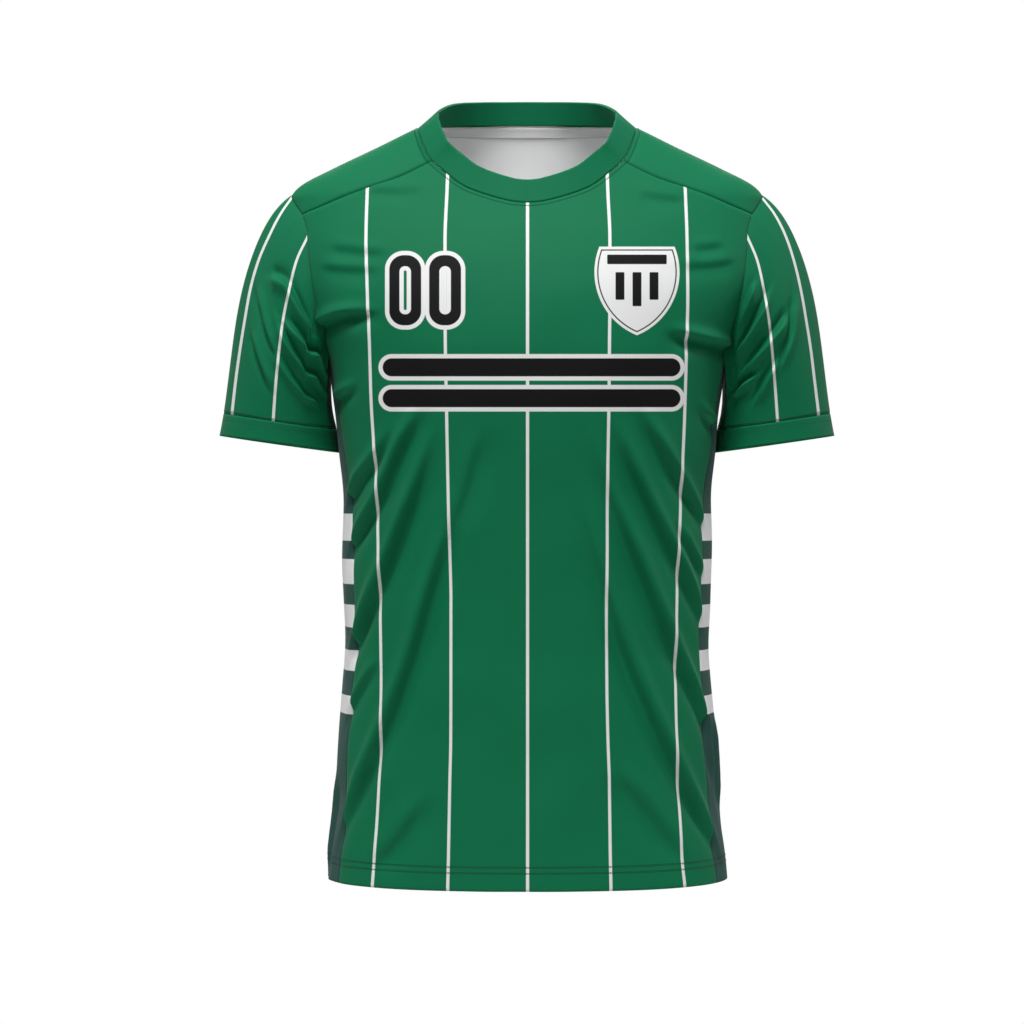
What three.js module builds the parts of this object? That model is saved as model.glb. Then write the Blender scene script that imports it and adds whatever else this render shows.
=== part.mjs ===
import * as THREE from 'three';

// A short-sleeved football jersey that keeps the shape of being worn, with nobody in it.
// Sizes are in mm. +Z is up and the front faces -Y, so the wearer's right arm is at -X.
// The origin lies between the two shoulders at the neck, where the wearer holds it up.

// Cloth thicknesses
const PANEL_WALL = 1.6;
const HEM_WALL = 2.8;
const SLEEVE_WALL = 1.6;
const CUFF_WALL = 2.4;
const COLLAR_WALL = 2.4;
const TAPE_WALL = 1.0;

// Lengths and heights of the cut
const SEAM_GAP = 0.4;
const HEM_Z = -704;
const HEM_FOLD = 22;
const UNDERARM_Z = -217;
const UNDERARM_DIP = 9;
const SHOULDER_CORNER_Z = -86;
const SHOULDER_TIP_Z = -63;
const NECK_CORNER_ANGLE = 29.5;
const COLLAR_WIDTH = 23;
const COLLAR_AXIS_Y = -5;
const CUFF_WIDTH = 19;
const TAPE_START_ANGLE = 104;
const TAPE_SPACE = 0.4;

// Numbers of grid steps
const NECK_STEPS = 6;
const FORWARD_SEAM_STEPS = 6;
const WRAP_STEPS = 4;
const PANEL_ROWS = 22;
const ARMHOLE_ROWS = 9;
const RIDGE_ROWS = 6;
const UNDERARM_STEPS = 4;
const SLEEVE_ROWS = 10;
const CUFF_ROWS = 2;

// Scale that lays angles round the body and round the sleeves out flat, for the folds
const BODY_MM_PER_DEGREE = 2.8;
const SLEEVE_MM_PER_DEGREE = 1.1;
const SLEEVE_RUN = 245;

const GREEN = 0x1b7a55;
const DARK_GREEN = 0x2f5650;
const WHITE = 0xf2f2ee;

// Horizontal sections of the body: half width, depth in front of and behind the middle,
// and how square the section is (2 is an ellipse)
const BODY_SECTIONS = [
  { z: -704, half: 187.0, front: 123.5, back: 112.0, square: 2.40 },
  { z: -682, half: 185.0, front: 122.5, back: 112.0, square: 2.40 },
  { z: -629, half: 179.5, front: 120.5, back: 110.0, square: 2.40 },
  { z: -577, half: 177.0, front: 119.0, back: 106.0, square: 2.43 },
  { z: -524, half: 173.0, front: 118.0, back: 101.5, square: 2.45 },
  { z: -480, half: 171.0, front: 117.0, back: 98.0, square: 2.45 },
  { z: -445, half: 172.0, front: 117.0, back: 96.0, square: 2.45 },
  { z: -400, half: 173.5, front: 118.0, back: 95.0, square: 2.45 },
  { z: -353, half: 172.5, front: 119.5, back: 97.0, square: 2.48 },
  { z: -302, half: 176.3, front: 122.0, back: 100.5, square: 2.50 },
  { z: -276, half: 178.5, front: 123.0, back: 103.0, square: 2.50 },
  { z: -254, half: 181.5, front: 124.0, back: 105.0, square: 2.50 },
  { z: -219, half: 187.5, front: 123.0, back: 107.0, square: 2.50 },
  { z: -199, half: 195.0, front: 120.5, back: 107.0, square: 2.50 },
  { z: -169, half: 209.5, front: 114.0, back: 105.5, square: 2.50 },
  { z: -139, half: 219.0, front: 103.0, back: 102.0, square: 2.50 },
  { z: -106, half: 222.5, front: 87.0, back: 96.0, square: 2.42 },
  { z: -86, half: 222.0, front: 75.0, back: 92.0, square: 2.36 },
  { z: -69, half: 219.0, front: 64.5, back: 87.0, square: 2.29 },
  { z: -57, half: 210.0, front: 57.0, back: 83.5, square: 2.24 },
  { z: -40, half: 179.0, front: 47.0, back: 78.0, square: 2.18 },
  { z: -20, half: 140.0, front: 34.0, back: 71.0, square: 2.12 },
  { z: 0, half: 99.8, front: 20.0, back: 64.0, square: 2.10 },
  { z: 14, half: 66.0, front: 6.0, back: 58.0, square: 2.10 },
];

// Seams. Angles are in degrees round the body: 0 is the middle of the front, 90 the side
// and 180 the middle of the back.
const FRONT_EDGE = [
  { z: -704, angle: 63.5 },
  { z: -628, angle: 63.5 },
  { z: -443, angle: 62.5 },
  { z: -351, angle: 64.5 },
  { z: -296, angle: 69.5 },
  { z: -255, angle: 73.0 },
  { z: -217, angle: 74.0 },
  { z: -205, angle: 71.5 },
  { z: -189, angle: 67.0 },
  { z: -169, angle: 63.2 },
  { z: -139, angle: 60.6 },
  { z: -105, angle: 61.4 },
  { z: -86, angle: 65.5 },
];
const BACK_EDGE = [
  { z: -704, angle: 116.5 },
  { z: -628, angle: 116.5 },
  { z: -443, angle: 117.5 },
  { z: -351, angle: 115.0 },
  { z: -296, angle: 110.0 },
  { z: -255, angle: 107.0 },
  { z: -217, angle: 106.0 },
  { z: -195, angle: 111.0 },
  { z: -170, angle: 115.3 },
  { z: -139, angle: 118.6 },
  { z: -107, angle: 116.8 },
  { z: -84, angle: 111.5 },
  { z: -72, angle: 104.0 },
  { z: -65.5, angle: 97.0 },
  { z: -63, angle: 90.0 },
  { z: 0, angle: 90.0 },
];
const FORWARD_SEAM = [
  { angle: 29.5, z: -36.8 },
  { angle: 33.9, z: -52.8 },
  { angle: 39.9, z: -62.2 },
  { angle: 48.7, z: -73.1 },
  { angle: 55.9, z: -80.0 },
  { angle: 65.5, z: -86.0 },
];
const NECK_SEAM = [
  { angle: 0, z: -78.4 },
  { angle: 6.5, z: -74.5 },
  { angle: 13.9, z: -64.5 },
  { angle: 21.3, z: -49.5 },
  { angle: 29.5, z: -36.8 },
  { angle: 39.8, z: -22.9 },
  { angle: 54.6, z: -10.2 },
  { angle: 73.8, z: -2.3 },
  { angle: 90, z: 0 },
  { angle: 110, z: 3 },
  { angle: 135, z: 6 },
  { angle: 160, z: 7.6 },
  { angle: 180, z: 8 },
];

// How far the neck band leans in towards the neck (0 is upright, 1 is flat)
const COLLAR_LEAN = [
  { angle: 0, lean: 0.35 },
  { angle: 30, lean: 0.38 },
  { angle: 90, lean: 0.62 },
  { angle: 135, lean: 0.30 },
  { angle: 180, lean: 0.10 },
];

// How far the neck tape reaches down inside the back
const TAPE_DROP = [
  { angle: 90, drop: 3.5 },
  { angle: 120, drop: 7.0 },
  { angle: 150, drop: 9.5 },
  { angle: 180, drop: 10.5 },
];

// Sleeve: the end ring and the way the cloth leaves the armhole and reaches the end
const SLEEVE_END = { x: 234.2, y: 16, z: -298.4, half: 56.8, depth: 57, tilt: 8 };
const SLEEVE_LEAVE = {
  under: { x: 6, y: 0, z: -60 },
  front: { x: 78, y: -22, z: -120 },
  top: { x: 175, y: 0, z: -105 },
  back: { x: 78, y: 22, z: -120 },
};
const SLEEVE_REACH = {
  under: { x: -10, y: 0, z: -66 },
  front: { x: 12, y: 4, z: -150 },
  top: { x: 38, y: 0, z: -186 },
  back: { x: 12, y: -4, z: -150 },
};

// Folds of the body. Each is a soft ridge from its lower to its upper end, with a trough
// beside it on its lower side. Angles below 0 are on the wearer's right.
const BODY_FOLDS = [
  { angle: -65, z: -347, toAngle: -42, toZ: -282, bow: 2, rise: 4.5, half: 14, trough: 5.0 },
  { angle: -63, z: -389, toAngle: -33, toZ: -273, bow: -5, rise: 5.0, half: 14, trough: 5.5 },
  { angle: -64, z: -478, toAngle: -26, toZ: -278, bow: -9, rise: 7.0, half: 14, trough: 7.5 },
  { angle: -63, z: -640, toAngle: -23, toZ: -370, bow: -8, rise: 7.0, half: 15, trough: 7.5 },
  { angle: -63, z: -537, toAngle: -49, toZ: -496, bow: 0, rise: 2.5, half: 14, trough: 2.5 },
  { angle: -22.5, z: -368, toAngle: -15, toZ: -285, bow: 0, rise: 2.5, half: 14, trough: 3.0 },
  { angle: -45, z: -674, toAngle: -30, toZ: -612, bow: 0, rise: 3.0, half: 15, trough: 3.5 },
  { angle: 61, z: -361, toAngle: 33, toZ: -269, bow: -4, rise: 4.5, half: 14, trough: 5.0 },
  { angle: 60, z: -445, toAngle: 25, toZ: -278, bow: 6, rise: 5.0, half: 14, trough: 5.5 },
  { angle: 61, z: -538, toAngle: 16, toZ: -278, bow: 8, rise: 7.0, half: 14, trough: 7.5 },
  { angle: 64, z: -660, toAngle: 14, toZ: -322, bow: 8, rise: 7.0, half: 15, trough: 7.5 },
  { angle: 46, z: -666, toAngle: 27, toZ: -594, bow: 0, rise: 3.0, half: 14, trough: 3.5 },
  { angle: 70, z: -602, toAngle: 60, toZ: -538, bow: 0, rise: 2.5, half: 14, trough: 2.5 },
  { angle: -68, z: -188, toAngle: -38, toZ: -178, bow: 2, rise: 4.5, half: 14, trough: 5.0 },
  { angle: 73, z: -206, toAngle: 37, toZ: -195, bow: 2, rise: 4.5, half: 14, trough: 5.0 },
  { angle: -118, z: -352, toAngle: -146, toZ: -262, bow: 4, rise: 4.5, half: 14, trough: 4.5 },
  { angle: -117, z: -430, toAngle: -155, toZ: -296, bow: 6, rise: 5.0, half: 15, trough: 5.0 },
  { angle: -118, z: -530, toAngle: -160, toZ: -352, bow: 8, rise: 5.0, half: 16, trough: 5.5 },
  { angle: -118, z: -640, toAngle: -158, toZ: -450, bow: 6, rise: 4.5, half: 16, trough: 5.0 },
  { angle: 117, z: -330, toAngle: 143, toZ: -250, bow: -4, rise: 4.5, half: 14, trough: 4.5 },
  { angle: 118, z: -402, toAngle: 153, toZ: -280, bow: -6, rise: 5.0, half: 15, trough: 5.0 },
  { angle: 117, z: -498, toAngle: 162, toZ: -330, bow: -8, rise: 5.0, half: 16, trough: 5.5 },
  { angle: 118, z: -606, toAngle: 159, toZ: -428, bow: -6, rise: 4.5, half: 16, trough: 5.0 },
  { angle: -122, z: -196, toAngle: -152, toZ: -176, bow: -3, rise: 4.0, half: 14, trough: 4.0 },
  { angle: 123, z: -188, toAngle: 150, toZ: -170, bow: 3, rise: 4.0, half: 14, trough: 4.0 },
];

// Folds of the sleeves. Angles run round the sleeve: 0 under the arm, 90 in front, 180 on
// top and 270 behind. Runs are shares of the way down from the armhole.
const RIGHT_SLEEVE_FOLDS = [
  { angle: 50, run: 0.30, toAngle: 118, toRun: 0.08, bow: 4, rise: 4.0, half: 15, trough: 4.0 },
  { angle: 45, run: 0.50, toAngle: 130, toRun: 0.28, bow: 6, rise: 4.5, half: 15, trough: 4.5 },
  { angle: 50, run: 0.74, toAngle: 140, toRun: 0.46, bow: 6, rise: 4.0, half: 15, trough: 4.0 },
  { angle: 318, run: 0.30, toAngle: 250, toRun: 0.12, bow: -4, rise: 4.0, half: 15, trough: 4.0 },
  { angle: 315, run: 0.58, toAngle: 236, toRun: 0.34, bow: -6, rise: 4.0, half: 15, trough: 4.0 },
];
const LEFT_SLEEVE_FOLDS = [
  { angle: 52, run: 0.34, toAngle: 114, toRun: 0.10, bow: 4, rise: 4.5, half: 15, trough: 4.5 },
  { angle: 48, run: 0.56, toAngle: 132, toRun: 0.24, bow: 6, rise: 4.5, half: 15, trough: 4.5 },
  { angle: 46, run: 0.78, toAngle: 138, toRun: 0.52, bow: 6, rise: 3.5, half: 15, trough: 3.5 },
  { angle: 316, run: 0.36, toAngle: 248, toRun: 0.14, bow: -4, rise: 4.0, half: 15, trough: 4.0 },
  { angle: 318, run: 0.66, toAngle: 232, toRun: 0.40, bow: -6, rise: 4.0, half: 15, trough: 4.0 },
];

const radians = (degrees) => (degrees * Math.PI) / 180;
const mix = (a, b, share) => a + (b - a) * share;

// A smooth curve through the rows of a table that never overshoots them
function track(rows, key, column) {
  const sorted = [...rows].sort((p, q) => p[key] - q[key]);
  const xs = sorted.map((row) => row[key]);
  const ys = sorted.map((row) => row[column]);
  const last = xs.length - 1;
  const step = [];
  const rate = [];
  for (let i = 0; i < last; i += 1) {
    step.push(xs[i + 1] - xs[i]);
    rate.push((ys[i + 1] - ys[i]) / step[i]);
  }
  const slope = [rate[0]];
  for (let i = 1; i < last; i += 1) {
    const before = 2 * step[i] + step[i - 1];
    const after = step[i] + 2 * step[i - 1];
    const turns = rate[i - 1] * rate[i] <= 0;
    slope.push(turns ? 0 : (before + after) / (before / rate[i - 1] + after / rate[i]));
  }
  slope.push(rate[last - 1]);
  return (value) => {
    const x = Math.min(Math.max(value, xs[0]), xs[last]);
    let i = 0;
    while (i < last - 1 && x > xs[i + 1]) {
      i += 1;
    }
    const t = (x - xs[i]) / step[i];
    const u = 1 - t;
    const start = (1 + 2 * t) * u * u * ys[i] + t * u * u * step[i] * slope[i];
    const end = t * t * (3 - 2 * t) * ys[i + 1] - t * t * u * step[i] * slope[i + 1];
    return start + end;
  };
}

const halfWidth = track(BODY_SECTIONS, 'z', 'half');
const frontDepth = track(BODY_SECTIONS, 'z', 'front');
const backDepth = track(BODY_SECTIONS, 'z', 'back');
const squareness = track(BODY_SECTIONS, 'z', 'square');
const frontEdge = track(FRONT_EDGE, 'z', 'angle');
const backEdge = track(BACK_EDGE, 'z', 'angle');
const forwardSeam = track(FORWARD_SEAM, 'angle', 'z');
const neckSeam = track(NECK_SEAM, 'angle', 'z');
const collarLean = track(COLLAR_LEAN, 'angle', 'lean');
const tapeDrop = track(TAPE_DROP, 'angle', 'drop');

// A point on the smooth body, before its folds
function bodyForm(angle, z) {
  const n = squareness(z);
  const across = Math.sin(radians(angle));
  const forward = Math.cos(radians(angle));
  const reach = (Math.abs(across) ** n + Math.abs(forward) ** n) ** (-1 / n);
  const depth = forward > 0 ? frontDepth(z) : backDepth(z);
  return new THREE.Vector3(halfWidth(z) * across * reach, -depth * forward * reach, z);
}

function bodyNormal(angle, z) {
  const round = bodyForm(angle + 0.5, z).sub(bodyForm(angle - 0.5, z));
  const up = bodyForm(angle, z + 0.5).sub(bodyForm(angle, z - 0.5));
  return round.cross(up).normalize();
}

// Height of a fold at a point laid out flat: a ridge, and a trough beside it
function foldHeight(x, y, fold) {
  const middle = { x: (fold.x0 + fold.x1) / 2, y: (fold.y0 + fold.y1) / 2 };
  const length = Math.hypot(fold.x1 - fold.x0, fold.y1 - fold.y0);
  const left = { x: -(fold.y1 - fold.y0) / length, y: (fold.x1 - fold.x0) / length };
  const pull = { x: middle.x + 2 * fold.bow * left.x, y: middle.y + 2 * fold.bow * left.y };
  const steps = 12;
  let nearest = { distance: Infinity, off: 0, beyond: 0, along: 0 };
  for (let i = 0; i <= steps; i += 1) {
    const t = i / steps;
    const u = 1 - t;
    const px = u * u * fold.x0 + 2 * u * t * pull.x + t * t * fold.x1;
    const py = u * u * fold.y0 + 2 * u * t * pull.y + t * t * fold.y1;
    const tx = 2 * u * (pull.x - fold.x0) + 2 * t * (fold.x1 - pull.x);
    const ty = 2 * u * (pull.y - fold.y0) + 2 * t * (fold.y1 - pull.y);
    const size = Math.hypot(tx, ty);
    const off = ((x - px) * -ty + (y - py) * tx) / size;
    const slip = ((x - px) * tx + (y - py) * ty) / size;
    const distance = Math.hypot(x - px, y - py);
    if (distance < nearest.distance) {
      const beyond = i === 0 || i === steps ? Math.abs(slip) : 0;
      nearest = { distance, off, beyond, along: t };
    }
  }
  const lower = fold.x1 > fold.x0 ? -1 : 1;
  const fade = Math.exp(-((nearest.beyond / fold.half) ** 2));
  const ends = Math.min(1, nearest.along / 0.2 + 0.35, (1 - nearest.along) / 0.3 + 0.1);
  const ridge = fold.rise * Math.exp(-((nearest.off / fold.half) ** 2));
  const shift = nearest.off - lower * fold.half * 1.75;
  const trough = fold.trough * Math.exp(-((shift / fold.half) ** 2));
  return (ridge - trough) * fade * ends;
}

function foldsHeight(x, y, folds, wrap) {
  let height = 0;
  for (const fold of folds) {
    const centre = (fold.x0 + fold.x1) / 2;
    const turns = Math.round((x - centre) / wrap);
    height += foldHeight(x - turns * wrap, y, fold);
  }
  return height;
}

function flatFolds(rows, scale, runKey, runScale) {
  const toKey = runKey === 'z' ? 'toZ' : 'toRun';
  return rows.map((row) => ({
    x0: row.angle * scale,
    y0: row[runKey] * runScale,
    x1: row.toAngle * scale,
    y1: row[toKey] * runScale,
    bow: row.bow,
    rise: row.rise,
    half: row.half,
    trough: row.trough,
  }));
}

const bodyFolds = flatFolds(BODY_FOLDS, BODY_MM_PER_DEGREE, 'z', 1);

// A point on the body's outer face, with its folds
function bodyPoint(angle, z) {
  const wrap = 360 * BODY_MM_PER_DEGREE;
  const height = foldsHeight(angle * BODY_MM_PER_DEGREE, z, bodyFolds, wrap);
  return bodyForm(angle, z).addScaledVector(bodyNormal(angle, z), height);
}

// Points spread evenly between two grid sides and two grid ends, given in degrees and mm
function stretch(bottom, top, left, right, columns, rows) {
  const grid = [];
  const corner = [bottom(0), bottom(1), top(0), top(1)];
  for (let j = 0; j <= rows; j += 1) {
    const t = j / rows;
    const line = [];
    for (let i = 0; i <= columns; i += 1) {
      const s = i / columns;
      const place = [0, 1].map((k) => {
        const along = mix(bottom(s)[k], top(s)[k], t) + mix(left(t)[k], right(t)[k], s);
        const low = mix(corner[0][k], corner[1][k], s);
        const high = mix(corner[2][k], corner[3][k], s);
        return along - mix(low, high, t);
      });
      line.push(place);
    }
    grid.push(line);
  }
  return grid;
}

// Heights of the grid rows along the side seams and armholes
function rowHeights() {
  const heights = [HEM_Z, HEM_Z + HEM_FOLD / 2, HEM_Z + HEM_FOLD, HEM_Z + HEM_FOLD + 2];
  const base = HEM_Z + HEM_FOLD + 2;
  for (let i = 1; i <= PANEL_ROWS; i += 1) {
    heights.push(mix(base, UNDERARM_Z, i / PANEL_ROWS));
  }
  return heights;
}

const sideHeights = rowHeights();
const pick = (list) => (share) => {
  const place = share * (list.length - 1);
  const index = Math.min(Math.floor(place), list.length - 2);
  const rest = place - index;
  return [0, 1].map((k) => mix(list[index][k], list[index + 1][k], rest));
};

function climb(from, to, steps) {
  const heights = [];
  for (let i = 1; i <= steps; i += 1) {
    heights.push(mix(from, to, i / steps));
  }
  return heights;
}

function frontHalf(sign) {
  const heights = sideHeights.concat(climb(UNDERARM_Z, SHOULDER_CORNER_Z, ARMHOLE_ROWS));
  const rise = (neckSeam(0) - HEM_Z) / (SHOULDER_CORNER_Z - HEM_Z);
  const side = heights.map((z) => [frontEdge(z), z]);
  const centre = heights.map((z) => [0, HEM_Z + (z - HEM_Z) * rise]);
  const hem = (s) => [frontEdge(HEM_Z) * s, HEM_Z];
  const columns = NECK_STEPS + FORWARD_SEAM_STEPS;
  const turn = NECK_STEPS / columns;
  const top = (s) => {
    if (s <= turn) {
      const angle = (NECK_CORNER_ANGLE * s) / turn;
      return [angle, neckSeam(angle)];
    }
    const share = (s - turn) / (1 - turn);
    const angle = mix(NECK_CORNER_ANGLE, frontEdge(SHOULDER_CORNER_Z), share);
    return [angle, forwardSeam(angle)];
  };
  const grid = stretch(hem, top, pick(centre), pick(side), columns, heights.length - 1);
  return grid.map((line) => line.map(([angle, z]) => bodyPoint(sign * angle, z)));
}

function backHalf(sign) {
  const low = sideHeights.concat(climb(UNDERARM_Z, SHOULDER_TIP_Z, ARMHOLE_ROWS));
  const heights = low.concat(climb(SHOULDER_TIP_Z, neckSeam(90), RIDGE_ROWS));
  const rise = (neckSeam(180) - HEM_Z) / (neckSeam(90) - HEM_Z);
  const side = heights.map((z) => [backEdge(z), z]);
  const centre = heights.map((z) => [180, HEM_Z + (z - HEM_Z) * rise]);
  const hem = (s) => [mix(backEdge(HEM_Z), 180, s), HEM_Z];
  const top = (s) => [mix(90, 180, s), neckSeam(mix(90, 180, s))];
  const columns = NECK_STEPS + FORWARD_SEAM_STEPS;
  const grid = stretch(hem, top, pick(side), pick(centre), columns, heights.length - 1);
  return grid.map((line) => line.map(([angle, z]) => bodyPoint(sign * angle, z)));
}

// The part of the back that lies over the shoulder, from its ridge to the seam in front
function shoulderWrap(sign) {
  const corner = frontEdge(SHOULDER_CORNER_Z);
  const armhole = (s) => {
    const bulge = Math.sin(Math.PI * s) * 4.5;
    return [mix(corner, 90, s), mix(SHOULDER_CORNER_Z, SHOULDER_TIP_Z, s) + bulge];
  };
  const neck = (s) => {
    const angle = mix(NECK_CORNER_ANGLE, 90, s);
    return [angle, neckSeam(angle)];
  };
  const seam = (t) => {
    const angle = mix(corner, NECK_CORNER_ANGLE, t);
    return [angle, forwardSeam(angle)];
  };
  const ridge = (t) => [90, mix(SHOULDER_TIP_Z, neckSeam(90), t)];
  const grid = stretch(armhole, neck, seam, ridge, WRAP_STEPS, FORWARD_SEAM_STEPS);
  return grid.map((line) => line.map(([angle, z]) => bodyPoint(sign * angle, z)));
}

function underarm(share) {
  const from = frontEdge(UNDERARM_Z);
  const to = backEdge(UNDERARM_Z);
  const bend = 1 - (2 * share - 1) ** 2;
  return [mix(from, to, share), UNDERARM_Z - UNDERARM_DIP * bend];
}

function sidePanel(sign) {
  const front = sideHeights.map((z) => [frontEdge(z), z]);
  const back = sideHeights.map((z) => [backEdge(z), z]);
  const hem = (s) => [mix(frontEdge(HEM_Z), backEdge(HEM_Z), s), HEM_Z];
  const rows = sideHeights.length - 1;
  const grid = stretch(hem, underarm, pick(front), pick(back), UNDERARM_STEPS, rows);
  return grid.map((line) => line.map(([angle, z]) => bodyPoint(sign * angle, z)));
}

// The armhole as a closed list of places, from the middle of the underarm round the front,
// over the shoulder and down the back
function armholePlaces() {
  const places = [];
  for (let i = UNDERARM_STEPS / 2; i > 0; i -= 1) {
    places.push(underarm(i / UNDERARM_STEPS));
  }
  places.push(underarm(0));
  for (const z of climb(UNDERARM_Z, SHOULDER_CORNER_Z, ARMHOLE_ROWS)) {
    places.push([frontEdge(z), z]);
  }
  const corner = frontEdge(SHOULDER_CORNER_Z);
  for (let i = 1; i <= WRAP_STEPS; i += 1) {
    const s = i / WRAP_STEPS;
    const bulge = Math.sin(Math.PI * s) * 4.5;
    places.push([mix(corner, 90, s), mix(SHOULDER_CORNER_Z, SHOULDER_TIP_Z, s) + bulge]);
  }
  const downwards = climb(SHOULDER_TIP_Z, UNDERARM_Z, ARMHOLE_ROWS);
  for (const z of downwards) {
    places.push([backEdge(z), z]);
  }
  for (let i = UNDERARM_STEPS - 1; i > UNDERARM_STEPS / 2; i -= 1) {
    places.push(underarm(i / UNDERARM_STEPS));
  }
  return places;
}

// A smooth value round the sleeve from the values under, in front, on top and behind
function roundSleeve(table, axis, turn) {
  const { under, front, top, back } = table;
  const mean = (under[axis] + front[axis] + top[axis] + back[axis]) / 4;
  const fromUnder = (under[axis] - top[axis]) / 2;
  const fromFront = (front[axis] - back[axis]) / 2;
  const pinch = (under[axis] + top[axis] - front[axis] - back[axis]) / 4;
  const wave = fromUnder * Math.cos(turn) + fromFront * Math.sin(turn);
  return mean + wave + pinch * Math.cos(2 * turn);
}

function sleeveForm(sign, start, turn, run) {
  const end = SLEEVE_END;
  const tilt = radians(end.tilt);
  const inward = end.half * Math.cos(turn);
  const stop = new THREE.Vector3(
    end.x - inward * Math.cos(tilt),
    end.y - end.depth * Math.sin(turn),
    end.z - inward * Math.sin(tilt),
  );
  const leave = ['x', 'y', 'z'].map((axis) => roundSleeve(SLEEVE_LEAVE, axis, turn));
  const reach = ['x', 'y', 'z'].map((axis) => roundSleeve(SLEEVE_REACH, axis, turn));
  const back = 1 - run;
  const h0 = (1 + 2 * run) * back * back;
  const h1 = run * back * back;
  const h2 = run * run * (3 - 2 * run);
  const h3 = -run * run * back;
  const point = new THREE.Vector3();
  point.x = h0 * start.x * sign + h1 * leave[0] + h2 * stop.x + h3 * reach[0];
  point.y = h0 * start.y + h1 * leave[1] + h2 * stop.y + h3 * reach[1];
  point.z = h0 * start.z + h1 * leave[2] + h2 * stop.z + h3 * reach[2];
  point.x *= sign;
  return point;
}

function sleeveStarts(sign) {
  const places = armholePlaces();
  const points = places.map(([angle, z]) => bodyPoint(sign * angle, z));
  const top = UNDERARM_STEPS / 2 + ARMHOLE_ROWS + WRAP_STEPS;
  const lengths = [0];
  for (let i = 1; i <= points.length; i += 1) {
    const step = points[i % points.length].distanceTo(points[i - 1]);
    lengths.push(lengths[i - 1] + step);
  }
  const whole = lengths[points.length];
  return points.map((point, i) => {
    const front = lengths[i] / lengths[top];
    const behind = (lengths[i] - lengths[top]) / (whole - lengths[top]);
    const turn = i <= top ? Math.PI * front : Math.PI * (1 + behind);
    const under = Math.max(0, Math.cos(turn)) ** 2;
    const [angle, z] = places[i];
    const start = point.clone().addScaledVector(bodyNormal(sign * angle, z), 0.35 * under);
    return { start, turn };
  });
}

// The share of the way down the sleeve at which the cuff starts
function cuffRun(turn) {
  const reach = ['x', 'y', 'z'].map((axis) => roundSleeve(SLEEVE_REACH, axis, turn));
  return 1 - CUFF_WIDTH / Math.hypot(...reach);
}

function sleeveGrid(sign, folds, shares, runOf) {
  const starts = sleeveStarts(sign);
  const flat = flatFolds(folds, SLEEVE_MM_PER_DEGREE, 'run', -SLEEVE_RUN);
  const wrap = 360 * SLEEVE_MM_PER_DEGREE;
  return shares.map((share) =>
    starts.map(({ start, turn }) => {
      const run = runOf(share, turn);
      const point = sleeveForm(sign, start, turn, run);
      const round = sleeveForm(sign, start, turn + 0.01, run);
      round.sub(sleeveForm(sign, start, turn - 0.01, run));
      const down = sleeveForm(sign, start, turn, run + 0.01);
      down.sub(sleeveForm(sign, start, turn, run - 0.01));
      const normal = down.cross(round).normalize().multiplyScalar(-sign);
      const degrees = (turn * 180) / Math.PI;
      const x = degrees * SLEEVE_MM_PER_DEGREE;
      const fade = Math.min(1, run / 0.12) * Math.min(1, (1 - run) / 0.1);
      const height = foldsHeight(x, -run * SLEEVE_RUN, flat, wrap) * fade;
      return point.addScaledVector(normal, height);
    }),
  );
}

// The neck seam as a closed list of angles, from the middle of the front
function neckAngles() {
  const angles = [];
  const columns = NECK_STEPS + FORWARD_SEAM_STEPS;
  for (let i = 0; i < NECK_STEPS; i += 1) {
    angles.push((NECK_CORNER_ANGLE * i) / NECK_STEPS);
  }
  for (let i = 0; i < WRAP_STEPS; i += 1) {
    angles.push(mix(NECK_CORNER_ANGLE, 90, i / WRAP_STEPS));
  }
  for (let i = 0; i < columns; i += 1) {
    angles.push(mix(90, 180, i / columns));
  }
  const mirrored = angles.slice(1).reverse().map((angle) => -angle);
  return angles.concat([180], mirrored);
}

function collarGrid() {
  const angles = neckAngles();
  const seam = angles.map((angle) => bodyPoint(angle, neckSeam(Math.abs(angle))));
  const count = seam.length;
  const rows = [0, 0.5, 1];
  const ways = seam.map((point, i) => {
    const along = seam[(i + 1) % count].clone().sub(seam[(i + count - 1) % count]);
    along.normalize();
    const lean = collarLean(Math.abs(angles[i]));
    const inward = new THREE.Vector3(-point.x, COLLAR_AXIS_Y - point.y, 0).normalize();
    const way = inward.multiplyScalar(lean);
    way.z = Math.sqrt(1 - lean * lean);
    way.addScaledVector(along, -way.dot(along)).normalize();
    return way;
  });
  return rows.map((share) =>
    seam.map((point, i) => point.clone().addScaledVector(ways[i], COLLAR_WIDTH * share)),
  );
}

function tapeGrid() {
  const steps = 20;
  const rows = [0, 1];
  return rows.map((share) => {
    const line = [];
    for (let i = 0; i <= steps; i += 1) {
      const angle = mix(TAPE_START_ANGLE, 360 - TAPE_START_ANGLE, i / steps);
      const folded = angle > 180 ? 360 - angle : angle;
      const z = neckSeam(folded) - 1 - tapeDrop(folded) * share;
      const inside = -(PANEL_WALL + TAPE_SPACE);
      line.push(bodyPoint(angle, z).addScaledVector(bodyNormal(angle, z), inside));
    }
    return line;
  });
}

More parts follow.
